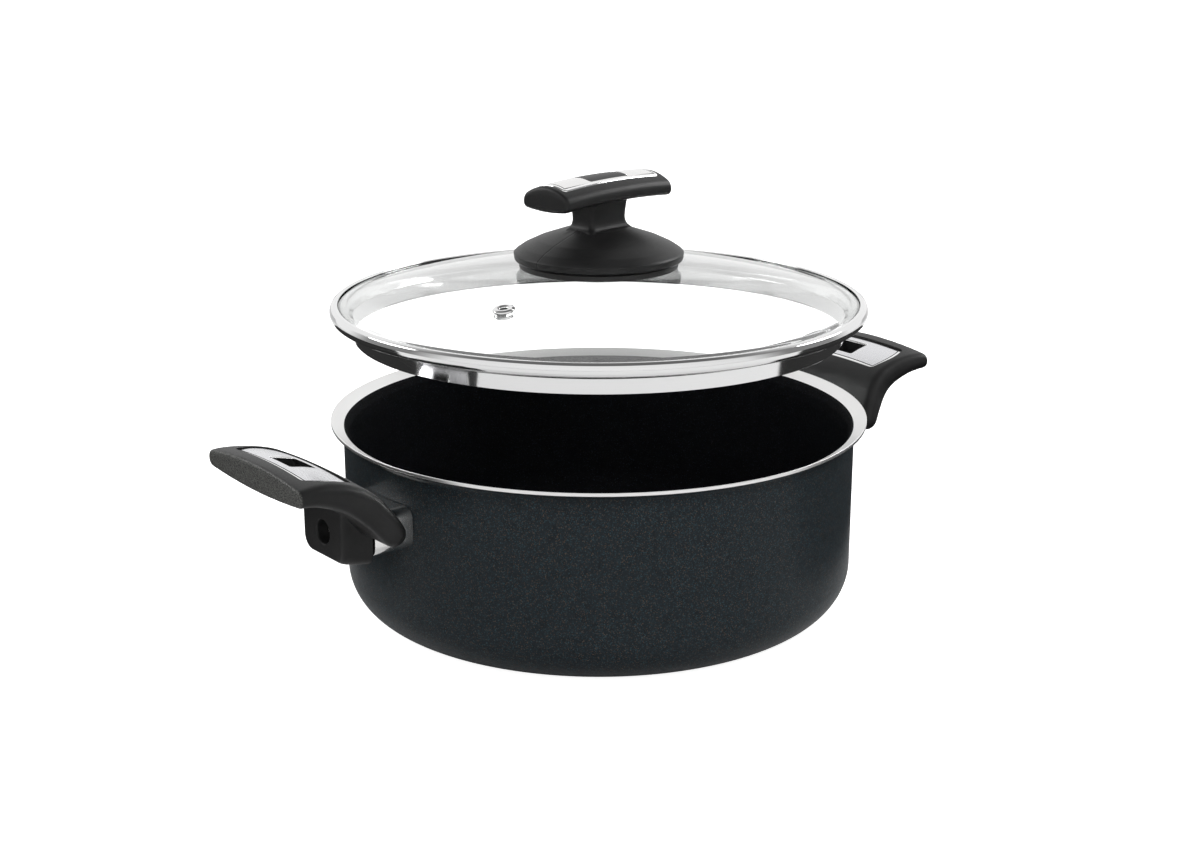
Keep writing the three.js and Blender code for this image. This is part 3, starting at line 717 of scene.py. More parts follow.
def pot_outline(groove):
    lip_z = RIM_Z - LIP_THICK
    outline = [(0, DISC_THICK + GAP), (DISC_R + GAP, DISC_THICK + GAP), (DISC_R + GAP, FOOT_Z + 0.5)]
    outline += [(DISC_R + GAP + 0.5, FOOT_Z)]
    outline += [on_corner(d) for d in (4, 8, 12, 16, 20, 21.6)]
    outline += [on_corner(22.2, groove), on_corner(23.4, groove), on_corner(24.0)]
    outline += [on_corner(d) for d in range(28, 92, 4)]
    outline += arc(POT_OUTER_R + 4, lip_z - 5, 4, 180, 112, 12)
    lip = filleted([
        (POT_OUTER_R + 2.6, lip_z - 1.2, 0),
        (LIP_R, lip_z, 0.35),
        (LIP_R, RIM_Z, 0.3),
        (POT_OUTER_R - GAP, FLARE_IN_Z, 0.5),
        (POT_INNER_R + 2.1, FLARE_IN_Z - 1.2, 1.5),
        (POT_INNER_R + 0.8, FLARE_IN_Z - 4.2, 3.0),
        (POT_INNER_R + 0.25, FLARE_IN_Z - 9.5, 12.0),
        (POT_INNER_R, FLARE_IN_Z - 20, 0),
    ])
    outline += lip[1:]
    outline += arc(POT_INNER_R - INNER_CORNER_R, FLOOR_Z + INNER_CORNER_R, INNER_CORNER_R, 0, -90, 20)
    outline.append((0, FLOOR_Z))
    return outline


def pot_zone(radius, height, outward, upward):
    """0 is the outer lacquer, 1 the lining, 2 the ground rim."""
    on_lip = radius > LIP_R - 0.12 and height > RIM_Z - LIP_THICK - 0.1
    on_flare = radius > POT_OUTER_R - 0.6 and upward > 0.2 and height > FLARE_IN_Z - 0.2
    if on_lip or on_flare:
        return 2
    return 1 if height > FLOOR_Z - 1 and (outward < -0.05 or upward > 0.3) else 0


def disc_outline():
    """The bonded disc, with turned rings in its underside."""
    corners = [(0, DISC_THICK, 0), (0, 0.5, 0), (9.0, 0.5, 0.2), (9.4, 0, 0.2)]
    for radius in (26, 42, 58, 74, 88):
        corners += [(radius - 0.9, 0, 0.15), (radius - 0.6, 0.35, 0.1)]
        corners += [(radius + 0.6, 0.35, 0.1), (radius + 0.9, 0, 0.15)]
    corners += [(DISC_R, 0, 0.4), (DISC_R, DISC_THICK, 0.2)]
    return filleted(corners, 3)[::-1]


def dome_z(radius):
    return CROWN_Z + LID_LIFT - DOME_DROP * (radius / DOME_R) ** 2


def dome(start, end, depth, steps):
    points = []
    for i in range(steps + 1):
        radius = start + (end - start) * i / steps
        points.append((radius, dome_z(radius) - depth))
    return points


def glass_outline():
    edge = dome_z(DOME_R)
    middle = edge - GLASS_THICK / 2
    rim = arc(GLASS_EDGE_R - GLASS_THICK / 2 + 0.4, middle, GLASS_THICK / 2, 90, -90, 12)
    return dome(4.5, DOME_R, 0, 44) + rim[1:-1] + dome(DOME_R, 4.5, GLASS_THICK, 44)


def band_outline():
    top = dome_z(DOME_R)
    low = top - GLASS_THICK
    bead = LID_LIFT + 100.9
    lift = LID_LIFT
    corners = [
        (124.0, top + GAP + 0.5, 0.3),
        (125.7, bead, 1.2),
        (127.2, bead - 1.0, 1.4),
        (128.0, bead - 3.0, 1.4),
        (127.8, bead - 4.6, 1.2),
        (127.1, bead - 6.0, 1.0),
        (125.2, lift + 94.3, 0.7),
        (119.6, lift + 93.3, 0.9),
        (117.9, lift + 91.8, 0.9),
        (117.1, lift + 84.9, 0.4),
        (116.8, lift + 84.6, 0.2),
        (116.2, lift + 84.7, 0.3),
        (116.2, lift + 85.4, 0.3),
        (117.0, lift + 92.1, 0.9),
        (118.5, lift + 94.2, 0.8),
        (125.2, low - GAP, 0.5),
        (126.8, low, 0.5),
        (127.1, top - 1.8, 0.8),
        (126.2, top + GAP, 0.5),
        (124.0, top + GAP, 0.2),
    ]
    return filleted(corners, 6)


def eyelet_outline():
    """Heights from the glass's upper face."""
    low = -GLASS_THICK - GAP
    corners = [
        (1.9, low - 1, 0.3), (4.7, low - 1, 0.4), (4.7, low, 0.15), (3.4, low, 0.1),
        (3.4, GAP, 0.1), (5.3, GAP, 0.2), (5.0, GAP + 0.75, 0.5), (4.0, GAP + 1.2, 0.6),
        (2.9, GAP + 1.2, 0.6), (1.9, GAP + 0.5, 0.7),
    ]
    return filleted(corners, 5)


def lay_on_dome(piece):
    """Moves a piece made at the origin to the vent, square to the glass."""
    slope = math.atan(2 * DOME_DROP * VENT_R / DOME_R ** 2)
    spot = Vector((VENT_R * math.cos(VENT_TURN), VENT_R * math.sin(VENT_TURN), dome_z(VENT_R))) * MM
    turn = Matrix.Rotation(VENT_TURN, 4, "Z") @ Matrix.Rotation(slope, 4, "Y")
    piece.data.transform(Matrix.Translation(spot) @ turn)


def screw_head(name, head_r, thick, shaft_r, shaft, slot_depth, material):
    """A round-headed screw that faces +Z, its head's underside at the origin, with a crossed slot."""
    outline = filleted([
        (0, thick, 0), (head_r - 1.3, thick, 0.9), (head_r, thick - 1.3, 0.8), (head_r, 0, 0.3),
        (shaft_r, 0, 0.3), (shaft_r, -shaft + 0.8, 0.2), (shaft_r - 0.6, -shaft, 0.2), (0, -shaft, 0),
    ], 4)
    screw = turned(name, outline, 48, material)
    tools = []
    for turn in (0, 90):
        outline = rounded_rectangle(2.6, 0.55, 0.4, 3, 1, 1)
        spin = Matrix.Rotation(math.radians(turn), 2)
        rings = []
        for height, grow in ((thick - slot_depth, 0.75), (thick + 1, 1.15)):
            rings.append([(*(spin @ Vector((a * grow, b * grow))), height) for a, b in outline])
        tools.append(skin("slot", rings))
    made = cut(screw, tools)
    tidy(made.data)
    return made


# ---- shapes of the handles -------------------------------------------------------------------


def plate_top(x, y):
    """Height of a grip plate's upper face."""
    t = (x - PLATE_IN_X) / (PLATE_OUT_X - PLATE_IN_X)
    ramp = PLATE_IN_Z + (PLATE_OUT_Z - PLATE_IN_Z) * t
    return ramp + PLATE_SWELL * 4 * t * (1 - t) + PLATE_ARCH * (1 - (y / PLATE_IN_HALF) ** 2)


def between(first, second, share):
    """An outline that lies the given share of the way from one to another."""
    return [(a + (c - a) * share, b + (d - b) * share) for (a, b), (c, d) in zip(first, second)]


def plate_outline(grow):
    """The handle plate's outline: four rounded corners, bowed sides and straight ends."""
    radius = PLATE_CORNER_R + grow
    corners = (
        (PLATE_OUT_X + grow, PLATE_OUT_HALF + grow, 1, 1, 0),
        (PLATE_IN_X - grow, PLATE_IN_HALF + grow, -1, 1, 90),
        (PLATE_IN_X - grow, PLATE_IN_HALF + grow, -1, -1, 180),
        (PLATE_OUT_X + grow, PLATE_OUT_HALF + grow, 1, -1, 270),
    )
    arcs = []
    for x, half, sign_x, sign_y, start in corners:
        arcs.append(arc(x - sign_x * radius, sign_y * (half - radius), radius, start, start + 90, 8))
    return joined(arcs, [(16, bow) for bow in (PLATE_SIDE_BOW, 0, -PLATE_SIDE_BOW, 0)])


def window_outline(grow):
    points = rounded_rectangle(WINDOW_HALF_X + grow, WINDOW_HALF_Y + grow, 1.5 + grow, 8, 16, 16)
    return [(x + WINDOW_X, y) for x, y in points]


def framed_plate(name, outer, hole, top, thick, field):
    """A sheet plate with a bevelled bright border, a fine groove inside it with painted shade in it, and a
    hole.

    Its material numbers are 0 for the field, 1 for the border and 2 for the groove's painted shade.
    """
    def level(points, drop):
        return [(x, y, top(x, y) - drop) for x, y in points]

    steps = 10
    border = ((0, thick, 1), (0, 0.5, 1), (0.2, 0.14, 1), (0.5, 0, 1))
    # the groove from 1.6 to 2.0 in from the edge, material 2, gets the painted shade
    border += ((1.5, 0, 2), (1.6, 0.2, 2), (2.0, 0.2, 2))
    rings = [(level(outer(-inset), drop), number) for inset, drop, number in border]
    inner, edge = outer(-2.1), hole(0.4)
    rings += [(level(between(inner, edge, i / steps), 0), 0) for i in range(steps)]
    rings += [(level(edge, 0), 1), (level(hole(0.1), 0.12), 1), (level(hole(0), 0.4), 1)]
    edge, rim = hole(0), outer(0)
    rings += [(level(between(edge, rim, i / steps), thick), 0) for i in range(steps)]
    made = skin(name, [ring for ring, _ in rings], "joined")
    dress(made, finish(field), finish("border"), finish("shadow"))
    count = len(outer(0))
    for face in made.data.polygons:
        face.material_index = rings[min(face.index // count, len(rings) - 1)][1]
    return made


def block(name, outline, low, high):
    """A solid between two height functions over an outline that holds its own middle."""
    steps = 8
    middle_x = sum(x for x, _ in outline) / len(outline)
    rings = []
    for surface_z, shares in ((low, range(1, steps + 1)), (high, range(steps, 0, -1))):
        for share in shares:
            ring = [(middle_x + (x - middle_x) * share / steps, y * share / steps) for x, y in outline]
            rings.append([(x, y, surface_z(x, y)) for x, y in ring])
    return skin(name, rings)


def bar_ring(outline, half_side, half_width, crown, belly):
    """Arches a rounded outline of (y, t) points above and below."""
    ring = []
    for y, t in outline:
        bulge = (1 - (y / half_width) ** 2) * abs(t) / half_side
        ring.append((y, t + (crown if t > 0 else -belly) * bulge))
    return ring


def wing_ring(x, z, tilt, half_width, half_side, crown, belly, inset):
    turn = math.radians(tilt)
    half_t = half_side - inset
    outline = rounded_rectangle(half_width - inset, half_t, min(half_t * 0.9, 4.5), 7, 40, 3)
    ring = bar_ring(outline, half_side, half_width, crown, belly)
    return [(x - t * math.sin(turn), y, z + t * math.cos(turn)) for y, t in ring]


def boss_ring(x, half_width, low, high):
    outline = rounded_rectangle(half_width, (high - low) / 2, 6.0, 7, 12, 8)
    return [(x, y, z + (low + high) / 2) for y, z in outline]


def fixing_tool():
    """What the screw, its washer and the stud take out of the grip, along the fixing axis."""
    outline = [
        (0, BOSS_IN_X - 1), (5.3, BOSS_IN_X - 1), (5.3, 144.5), (2.8, 144.5), (2.8, 147.0), (5.5, 147.0),
        (5.5, BOSS_OUT_X - 1.0), (5.7, BOSS_OUT_X - 0.3), (6.4, BOSS_OUT_X + 0.5), (6.4, BOSS_OUT_X + 9),
        (0, BOSS_OUT_X + 9),
    ]
    tool = turned("fixing_tool", outline, 64, finish("grip"))
    turn = Matrix.Translation((0, 0, AXIS_Z * MM)) @ Matrix.Rotation(math.radians(90), 4, "Y")
    tool.data.transform(turn)
    return tool


def sleeve_tool():
    """Room for the flame guard in front of the boss."""
    outline = rounded_rectangle(GUARD_HIGH.y + GAP, GUARD_HALF_Z + GAP, 5 + GAP, 6, 6, 4)
    rings = [[(x, y, z + GUARD_MID_Z) for y, z in outline] for x in (POT_OUTER_R, BOSS_IN_X)]
    return skin("sleeve_tool", rings)


def grip_solid(voxel, rounds):
    """The right-hand grip, moulded round its boss and cut for its plate, window and screw."""
    wing = skin("grip", eased([wing_ring(*s) for s in WING_SECTIONS], 5))
    boss = skin("boss", eased([boss_ring(*s) for s in BOSS_SECTIONS], 4))
    whole = moulded(cut(wing, [boss], "UNION"), voxel, rounds)
    pocket = block(
        "pocket", plate_outline(GAP), lambda x, y: plate_top(x, y) - PLATE_THICK - GAP,
        lambda x, y: plate_top(x, y) + 12)
    window = block("window", window_outline(0), lambda x, y: 70, lambda x, y: 125)
    whole = cut(whole, [sleeve_tool(), pocket, window, fixing_tool()])
    tidy(whole.data, 40)
    return whole


def guard_rings():
    """Rings of the flame guard: out along its outside, round its lip and back along its inside."""
    lip = ((0.0, 0.35), (0.1, 0.12), (0.35, 0.0), (0.65, 0.0), (0.9, 0.12), (1.0, 0.35))

    def ring(inset, x_of):
        outline = rounded_rectangle(GUARD_HIGH.y - inset, GUARD_HALF_Z - inset, 5 - inset, 8, 24, 8)
        return [(x_of(y), y, z + GUARD_MID_Z) for y, z in outline]

    def at_wall(y):
        return math.sqrt((POT_OUTER_R + GAP) ** 2 - y * y)

    rings = [ring(0.0, at_wall), ring(0.0, lambda y: (at_wall(y) + GUARD_HIGH.x) / 2)]
    rings += [ring(inset, lambda y, back=back: GUARD_HIGH.x - back) for inset, back in lip]
    rings += [ring(1.0, lambda y: (at_wall(y) + GUARD_HIGH.x) / 2), ring(1.0, at_wall)]
    return rings


# ---- shapes of the knob ----------------------------------------------------------------------


def bar_middle(x):
    return BAR_MID_Z - BAR_DROOP * (x / BAR_HALF_X) ** 2


def bar_top(x, y):
    return bar_middle(x) + BAR_SIDE_HALF + BAR_CROWN * (1 - (y / BAR_HALF_Y) ** 2)


def knob_bar_ring(x, inset):
    half_y = BAR_HALF_Y - 0.3 * (x / BAR_HALF_X) ** 2 - inset
    half_t = BAR_SIDE_HALF - inset
    outline = rounded_rectangle(half_y, half_t, min(2.2, half_t * 0.9), 7, 30, 3)
    ring = bar_ring(outline, BAR_SIDE_HALF, BAR_HALF_Y, BAR_CROWN, BAR_BELLY)
    return [(x, y, bar_middle(x) + t) for y, t in ring]


def stem_ring(z, grow):
    outline = rounded_rectangle(STEM_HALF_X + grow, STEM_HALF_Y + grow, 2.2, 5, 8, 6)
    return [(x, y, z) for x, y in outline]


def skirt_outline():
    ridge = KNOB_RIDGE_Z
    corners = [
        (0, KNOB_LOW_Z, 0), (KNOB_R - 1.2, KNOB_LOW_Z, 0.5), (KNOB_R - 0.3, KNOB_LOW_Z + 0.9, 0.6),
        (KNOB_R, ridge - 0.1, 0.35), (KNOB_R - 0.7, ridge + 0.7, 0.35),
        (36.2, ridge + 3.1, 8), (29, ridge + 6.5, 10), (20, ridge + 9.6, 8), (14, KNOB_NECK_Z - 0.6, 3),
        (0, KNOB_NECK_Z + 0.4, 0),
    ]
    return filleted(corners, 7)


def knob_plate_outline(grow):
    return rounded_rectangle(KNOB_PLATE_HALF_X + grow, KNOB_PLATE_HALF_Y + grow, 2 + grow, 8, 40, 12)


def pad_outline(grow):
    return rounded_rectangle(PAD_HALF_X + grow, PAD_HALF_Y + grow, 2 + grow, 8, 40, 12)


def knob_pocket_tool():
    """The ring-shaped pocket that the knob's plate lies in, with the pad left standing."""
    outer, inner = knob_plate_outline(GAP), pad_outline(0)
    steps = 8
    rings = []
    for first, second, rise in ((outer, inner, -KNOB_PLATE_THICK), (inner, outer, 8)):
        for i in range(steps + 1):
            rings.append([(x, y, bar_top(x, y) + rise) for x, y in between(first, second, i / steps)])
    return skin("knob_pocket", rings, "joined")


def knob_solid(voxel, rounds):
    reach = BAR_HALF_X - 1.2
    rings = [knob_bar_ring(-BAR_HALF_X, 1.2), knob_bar_ring(-BAR_HALF_X + 0.35, 0.4)]
    rings += [knob_bar_ring(-reach + 2 * reach * i / 20, 0) for i in range(21)]
    rings += [knob_bar_ring(BAR_HALF_X - 0.35, 0.4), knob_bar_ring(BAR_HALF_X, 1.2)]
    bar = skin("bar", rings)
    stem_rings = [
        stem_ring(KNOB_NECK_Z - 6, 3.4), stem_ring(KNOB_NECK_Z - 1.4, 2.6), stem_ring(KNOB_NECK_Z, 1.3),
        stem_ring(KNOB_NECK_Z + 1.6, 0.5), stem_ring(KNOB_NECK_Z + 4.5, 0.1),
        stem_ring(BAR_MID_Z - 5, 0.7), stem_ring(BAR_MID_Z - 2, 1.2), stem_ring(BAR_MID_Z, 1.4),
    ]
    stem = skin("stem", eased(stem_rings, 3))
    upper = moulded(cut(bar, [stem], "UNION"), voxel, rounds)
    skirt = turned("knob_moulding", skirt_outline(), 160, finish("knob"))
    whole = cut(cut(skirt, [upper], "UNION"), [knob_pocket_tool()])
    tidy(whole.data, 40)
    return whole


def pad_gap_outline(grow):
    """The hole in the knob's plate, a hair larger than the pad that stands in it."""
    return pad_outline(grow + GAP)


def knob_plate_top(x, y):
    """The plate stands a little proud of the bar."""
    return bar_top(x, y) + 0.25


def gasket_outline():
    points = dome(6, GASKET_R, -GAP, 24)
    edge = points[-1][1]
    high = KNOB_LOW_Z - GAP + LID_LIFT
    points += [(GASKET_R + 0.3, edge + 0.25), (GASKET_R + 0.4, edge + 1.0), (GASKET_R + 0.1, high - 0.3)]
    points += [(GASKET_R - 0.4, high), (6, high)]
    return points


def lift_lid_piece(piece):
    """Moves a piece drawn seated on the rim, with the knob along X, to the lid's rest place."""
    turn = Matrix.Rotation(LID_TURN, 4, "Z")
    piece.data.transform(Matrix.Translation((0, 0, LID_LIFT * MM)) @ turn)


# ---- settings ------------------------------------------------------------------------------------


class PotSettings(bpy.types.PropertyGroup):
    """Sizes of the pot's shell and disc."""
    facets: IntProperty(name="Facets", description="Facets round the turned pieces", default=224, min=48)
    groove: FloatProperty(
        name="Groove depth", description="Depth of the line above the foot",
        default=0.0004, min=0, unit="LENGTH")


class GripSettings(bpy.types.PropertyGroup):
    """Detail of the moulded pieces."""
    voxel: FloatProperty(
        name="Detail size", description="Smallest detail kept in a moulding",
        default=0.00055, min=0.0003, precision=5, unit="LENGTH")
    rounds: IntProperty(name="Softening", description="Rounds of edge softening", default=3, min=0)


class StageSettings(bpy.types.PropertyGroup):
    """The camera, the floor and the light."""
    azimuth: FloatProperty(
        name="Azimuth", description="Direction the camera looks along, from +Y",
        default=math.radians(-38.2), subtype="ANGLE", unit="ROTATION")
    elevation: FloatProperty(
        name="Elevation", description="Angle of the camera over the aim",
        default=math.radians(17.9), subtype="ANGLE", unit="ROTATION")
    distance: FloatProperty(
        name="Distance", description="From the camera to the aim", default=0.9613, unit="LENGTH")
    aim: FloatProperty(
        name="Aim height", description="Height of the aim on the pot's axis", default=0.0598, unit="LENGTH")
    lens: FloatProperty(name="Lens", description="Focal length", default=58.58, unit="CAMERA")
    floor_colour: FloatVectorProperty(
        name="Floor colour", description="Colour of the floor",
        default=(0.93, 0.93, 0.93), subtype="COLOR")
    floor_size: FloatProperty(
        name="Floor size", description="Radius of the floor", default=6.0, unit="LENGTH")
    floor_glow: FloatProperty(
        name="Floor glow", description="Light of its own that the floor shows", default=0.9, min=0)


# ---- operators ------------------------------------------------------------------------------------


class COOKPOT_OT_shell(bpy.types.Operator):
    """Turn the pot's shell, with its lacquer, lining and ground rim"""
    bl_idname = "cookpot.shell"
    bl_label = "Pot shell"

    def execute(self, context):
        settings = context.scene.cookpot_pot
        shell = turned("pot_shell", pot_outline(settings.groove / MM), settings.facets, finish("lacquer"))
        dress(shell, finish("lacquer"), finish("nonstick"), finish("rim"))
        zoned(shell, pot_zone)
        place(shell, "pot", "dark_lacquer", "pot_body")
        return {"FINISHED"}


class COOKPOT_OT_disc(bpy.types.Operator):
    """Turn the disc let into the pot's underside"""
    bl_idname = "cookpot.disc"
    bl_label = "Base disc"

    def execute(self, context):
        facets = context.scene.cookpot_pot.facets
        disc = turned("base_plate", disc_outline(), facets, finish("disc"))
        place(disc, "pot", "bare_aluminium", "base_disc")
        return {"FINISHED"}


class COOKPOT_OT_grips(bpy.types.Operator):
    """Mould the two grips"""
    bl_idname = "cookpot.grips"
    bl_label = "Grips"

    def execute(self, context):
        settings = context.scene.cookpot_grip
        grip = grip_solid(settings.voxel, settings.rounds)
        grip.name = "grip_right"
        dress(grip, finish("grip"))
        place_pair(grip, "phenolic", "handle_grip")
        return {"FINISHED"}


class COOKPOT_OT_grip_plates(bpy.types.Operator):
    """Make the bordered metal plates in the grips"""
    bl_idname = "cookpot.grip_plates"
    bl_label = "Grip plates"

    def execute(self, context):
        outlines = (plate_outline, window_outline)
        plate = framed_plate("grip_plate_right", *outlines, plate_top, PLATE_THICK, "satin")
        place_pair(plate, "satin_steel", "handle_plate")
        return {"FINISHED"}


class COOKPOT_OT_guards(bpy.types.Operator):
    """Make the flame guards between the wall and the grips"""
    bl_idname = "cookpot.guards"
    bl_label = "Flame guards"

    def execute(self, context):
        guard = skin("guard_right", guard_rings(), "joined")
        dress(guard, finish("guard"))
        place_pair(guard, "polished_steel", "flame_guard")
        return {"FINISHED"}


class COOKPOT_OT_screws(bpy.types.Operator):
    """Repeat the fixing screw in both grips, and finish the studs and washers behind it"""
    bl_idname = "cookpot.screws"
    bl_label = "Fixing screws"

    def execute(self, context):
        thick = 3.0
        under = SCREW_HIGH.x - thick
        shaft = under - SCREW_LOW.x
        pattern = screw_head("screw_pattern", 4.3, thick, 2.4, shaft, 1.8, finish("stud"))
        places = [((under, 0, AXIS_Z), (1, 0, 0)), ((-under, 0, AXIS_Z), (-1, 0, 0))]
        screws = repeated("grip_screws", pattern, places, finish("stud"))
        dress(screws, finish("stud"))
        place(screws, "pot", "polished_steel", "handle_screw_right", "handle_screw_left")
        for side in ("right", "left"):
            dress(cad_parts["weld_stud_" + side], finish("stud"))
            dress(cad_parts["screw_washer_" + side], finish("mirror"))
        return {"FINISHED"}


class COOKPOT_OT_lid(bpy.types.Operator):
    """Make the glass, its steel band and the steam vent"""
    bl_idname = "cookpot.lid"
    bl_label = "Lid"

    def execute(self, context):
        facets = context.scene.cookpot_pot.facets
        glass = turned("lid_dome", glass_outline(), facets, finish("glass"))
        bore = turned("vent_bore", [(0, -9), (4.7, -9), (4.7, 9), (0, 9)], 40, finish("glass"))
        lay_on_dome(bore)
        glass = cut(glass, [bore])
        tidy(glass.data, 30)
        dress(glass, finish("glass"))
        place(glass, "lid", "lid_glass", "lid_glass")
        band = turned("lid_rim_band", band_outline(), facets, finish("mirror"))
        place(band, "lid", "polished_steel", "lid_band")
        eyelet = turned("steam_vent", eyelet_outline(), 56, finish("mirror"))
        lay_on_dome(eyelet)
        place(eyelet, "lid", "polished_steel", "vent_eyelet")
        dress(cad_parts["vent_seal"], finish("silicone"))
        return {"FINISHED"}


class COOKPOT_OT_knob(bpy.types.Operator):
    """Mould the knob, lay its plate in and set it on its gasket"""
    bl_idname = "cookpot.knob"
    bl_label = "Knob"

    def execute(self, context):
        settings = context.scene.cookpot_grip
        knob = knob_solid(settings.voxel, settings.rounds)
        lift_lid_piece(knob)
        dress(knob, finish("knob"))
        place(knob, "lid", "phenolic", "knob_body")
        outlines = (knob_plate_outline, pad_gap_outline)
        plate = framed_plate("knob_inlay", *outlines, knob_plate_top, KNOB_PLATE_THICK, "guard")
        lift_lid_piece(plate)
        place(plate, "lid", "satin_steel", "knob_plate")
        gasket = turned("knob_seat", gasket_outline(), 128, finish("silicone"))
        place(gasket, "lid", "silicone", "knob_gasket")
        dress(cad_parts["knob_insert"], finish("brass"))
        dress(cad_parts["knob_seal"], finish("silicone"))
        for node in ("knob_washer", "knob_screw"):
            dress(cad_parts[node], finish("mirror"))
        return {"FINISHED"}


class COOKPOT_OT_stage(bpy.types.Operator):
    """Set the floor, the studio light and the camera"""
    bl_idname = "cookpot.stage"
    bl_label = "Stage"

    def execute(self, context):
        settings = context.scene.cookpot_stage
        ahead, side = level_ways(settings)
        make_floor(settings)
        make_world(ahead)
        make_lamps(ahead, side)
        make_camera(context, settings)
        context.scene.view_settings.view_transform = "Standard"
        return {"FINISHED"}


# ---- stage ---------------------------------------------------------------------------------------

FLOOR_THROWN = rgb(0.3, 0.3, 0.3)
# painted reflection: the dark tone that the floor shows to glossy rays in two patches beside the pot
PAINTED_REFLECTION_TONE = rgb(0.02, 0.02, 0.02)
REFLECTION_PATCH_INNER = (0.16, 0.17)        # metres from the pot's middle to a painted reflection patch's soft edges
REFLECTION_PATCH_NEAR = (-0.07, -0.06)
REFLECTION_PATCH_FAR = (0.42, 0.44)
FLOOR_DROP = 0.0002              # metres from the base down to the floor

# share of the way from behind the camera to straight ahead, and the brightness there
ROOM_STOPS = ((0.0, 1.0), (0.3, 0.9), (0.46, 0.25), (0.68, 0.3), (0.8, 1.0), (1.0, 1.0))
ROOM_OVER = (0.8, 0.9)           # rise of the direction over which the room goes dark
OVER_TONE = rgb(0.16, 0.16, 0.16)

# name, metres ahead, to the right and up, size, watts, whether it is mirrored
LAMPS = (
    ("lamp_front", -1.1, 0.5, 1.2, 0.6, 6.0, False),
    ("lamp_left", 0.2, -1.0, 0.7, 0.5, 4.0, True),
    ("lamp_right", 0.5, 1.0, 0.8, 0.5, 6.0, True),
)
LAMP_AIM = Vector((0, 0, 0.08))


def view_direction(settings):
    """The way the camera looks."""
    across = math.cos(settings.elevation)
    return Vector((
        -math.sin(settings.azimuth) * across, math.cos(settings.azimuth) * across,
        -math.sin(settings.elevation),
    ))


def level_ways(settings):
    """The level directions away from the camera and to its right."""
    ahead = view_direction(settings)
    ahead.z = 0
    ahead.normalize()
    return ahead, Vector((ahead.y, -ahead.x, 0))


def painted_dark_reflections(tree, coords, settings):
    """Painted reflection: where the floor is dark for shiny parts to mirror, an area on each side of the
    pot.
    """
    ahead, side = level_ways(settings)
    across = worked(tree, "ABSOLUTE", along(tree, coords, side))
    reach = along(tree, coords, ahead)
    wide = ranged(tree, across, 0.0, 1.0, *REFLECTION_PATCH_INNER)
    near = ranged(tree, reach, 0.0, 1.0, *REFLECTION_PATCH_NEAR)
    far = ranged(tree, reach, 1.0, 0.0, *REFLECTION_PATCH_FAR)
    return worked(tree, "MULTIPLY", worked(tree, "MULTIPLY", wide, near), far)


def floor_finish(settings):
    """A pale floor with light of its own where it is seen, little light thrown back on the pot, and a
    painted reflection: dark patches beside the pot that only glossy rays see.
    """
    material, tree, shader, coords = surface("pale_floor", Roughness=0.9, Specular_IOR_Level=0.1)
    path = add(tree, "ShaderNodeLightPath").outputs
    tone = tuple(settings.floor_colour)
    pale = mixed(tree, noise(tree, coords, 6.0), rgb(*(c * 0.99 for c in tone)), rgb(*tone))
    pale = mixed(tree, path["Is Diffuse Ray"], pale, FLOOR_THROWN)
    # painted reflection: the dark patches show only to glossy rays, so shiny parts mirror dark there
    painted_reflection = worked(tree, "MULTIPLY", painted_dark_reflections(tree, coords, settings), path["Is Glossy Ray"])
    join(tree, shader, Base_Color=mixed(tree, painted_reflection, pale, PAINTED_REFLECTION_TONE))
    shader.inputs["Emission Color"].default_value = rgb(1, 1, 1)
    shown = worked(tree, "MAXIMUM", path["Is Camera Ray"], path["Is Transmission Ray"])
    join(tree, shader, Emission_Strength=ranged(tree, shown, 0.0, settings.floor_glow, 0.0, 1.0))
    return material


def make_floor(settings):
    work = bmesh.new()
    bmesh.ops.create_circle(work, cap_ends=True, segments=96, radius=settings.floor_size)
    mesh = bpy.data.meshes.new("floor")
    work.to_mesh(mesh)
    work.free()
    floor = link("floor", mesh)
    floor.location.z = -FLOOR_DROP
    dress(floor, floor_finish(settings))


def make_world(ahead):
    """A room that is bright in front and behind and dark to the sides and overhead."""
    world = bpy.data.worlds.new("studio")
    bpy.context.scene.world = world
    world.use_nodes = True
    tree = world.node_tree
    coords = add(tree, "ShaderNodeTexCoord").outputs["Generated"]
    share = ranged(tree, along(tree, coords, ahead), 0.0, 1.0, -1.0, 1.0)
    ramp = add(tree, "ShaderNodeValToRGB", {"Fac": share})
    stops = ramp.color_ramp.elements
    while len(stops) < len(ROOM_STOPS):
        stops.new(0.5)
    for stop, (spot, value) in zip(stops, ROOM_STOPS):
        stop.position = spot
        stop.color = rgb(value, value, value)
    height = add(tree, "ShaderNodeSeparateXYZ", {"Vector": coords}).outputs[2]
    room = mixed(tree, ranged(tree, height, 0.0, 1.0, *ROOM_OVER), ramp.outputs[0], OVER_TONE)
    seen = add(tree, "ShaderNodeLightPath").outputs["Is Camera Ray"]
    background = tree.nodes["Background"]
    tree.links.new(mixed(tree, seen, room, rgb(1, 1, 1)), background.inputs["Color"])
    background.inputs["Strength"].default_value = 1.0


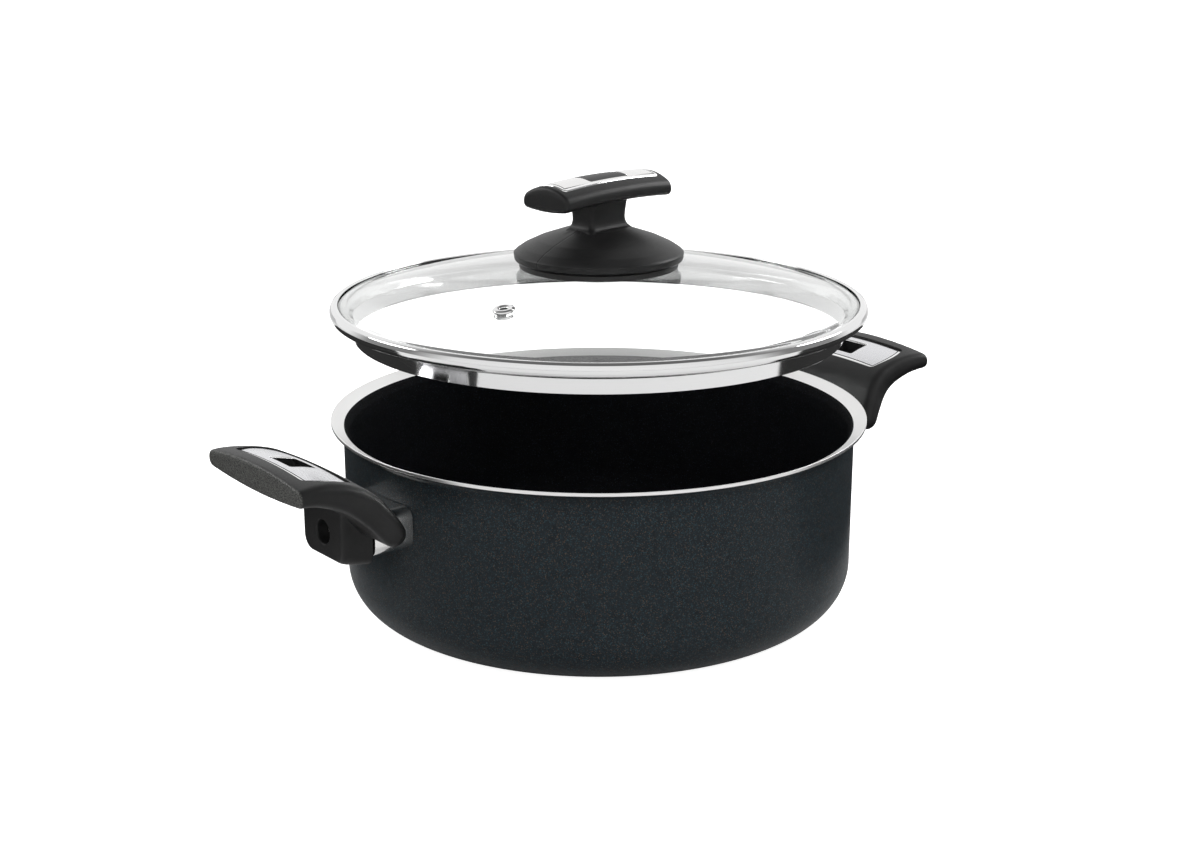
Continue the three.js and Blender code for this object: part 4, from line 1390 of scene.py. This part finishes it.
def make_lamps(ahead, side):
    for name, forward, right, height, size, power, mirrored in LAMPS:
        lamp = bpy.data.lights.new(name, "AREA")
        lamp.shape = "DISK"
        lamp.size = size
        lamp.energy = power
        holder = link(name, lamp)
        spot = ahead * forward + side * right + Vector((0, 0, height))
        holder.location = spot
        holder.visible_glossy = mirrored
        holder.rotation_euler = (LAMP_AIM - spot).to_track_quat("-Z", "Y").to_euler()


def make_camera(context, settings):
    camera = bpy.data.cameras.new("camera")
    camera.lens = settings.lens
    camera.sensor_width = 36.0
    camera.shift_x = 0.001
    camera.shift_y = 0.0394
    camera.clip_start = 0.01
    holder = link("camera", camera)
    ahead = view_direction(settings)
    holder.location = Vector((0, 0, settings.aim)) - ahead * settings.distance
    holder.rotation_euler = ahead.to_track_quat("-Z", "Y").to_euler()
    context.scene.camera = holder


# ---- panel and registration --------------------------------------------------------------------------

STEPS = ("shell", "disc", "grips", "grip_plates", "guards", "screws", "lid", "knob", "stage")


class COOKPOT_PT_panel(bpy.types.Panel):
    bl_idname = "COOKPOT_PT_panel"
    bl_label = "Cooking pot"
    bl_space_type = "VIEW_3D"
    bl_region_type = "UI"
    bl_category = "Cooking pot"

    def draw(self, context):
        for step in STEPS:
            self.layout.operator("cookpot." + step)


SETTINGS = (
    ("cookpot_pot", PotSettings), ("cookpot_grip", GripSettings), ("cookpot_stage", StageSettings),
)
OPERATORS = (
    COOKPOT_OT_shell, COOKPOT_OT_disc, COOKPOT_OT_grips, COOKPOT_OT_grip_plates, COOKPOT_OT_guards,
    COOKPOT_OT_screws, COOKPOT_OT_lid, COOKPOT_OT_knob, COOKPOT_OT_stage,
)


def register():
    for name, group in SETTINGS:
        bpy.utils.register_class(group)
        setattr(bpy.types.Scene, name, PointerProperty(type=group))
    for operator in OPERATORS:
        bpy.utils.register_class(operator)
    bpy.utils.register_class(COOKPOT_PT_panel)


def unregister():
    bpy.utils.unregister_class(COOKPOT_PT_panel)
    for operator in reversed(OPERATORS):
        bpy.utils.unregister_class(operator)
    for name, group in SETTINGS:
        delattr(bpy.types.Scene, name)
        bpy.utils.unregister_class(group)


def main():
    register()
    for step in STEPS:
        getattr(bpy.ops.cookpot, step)()


if __name__ == "__main__":
    main()
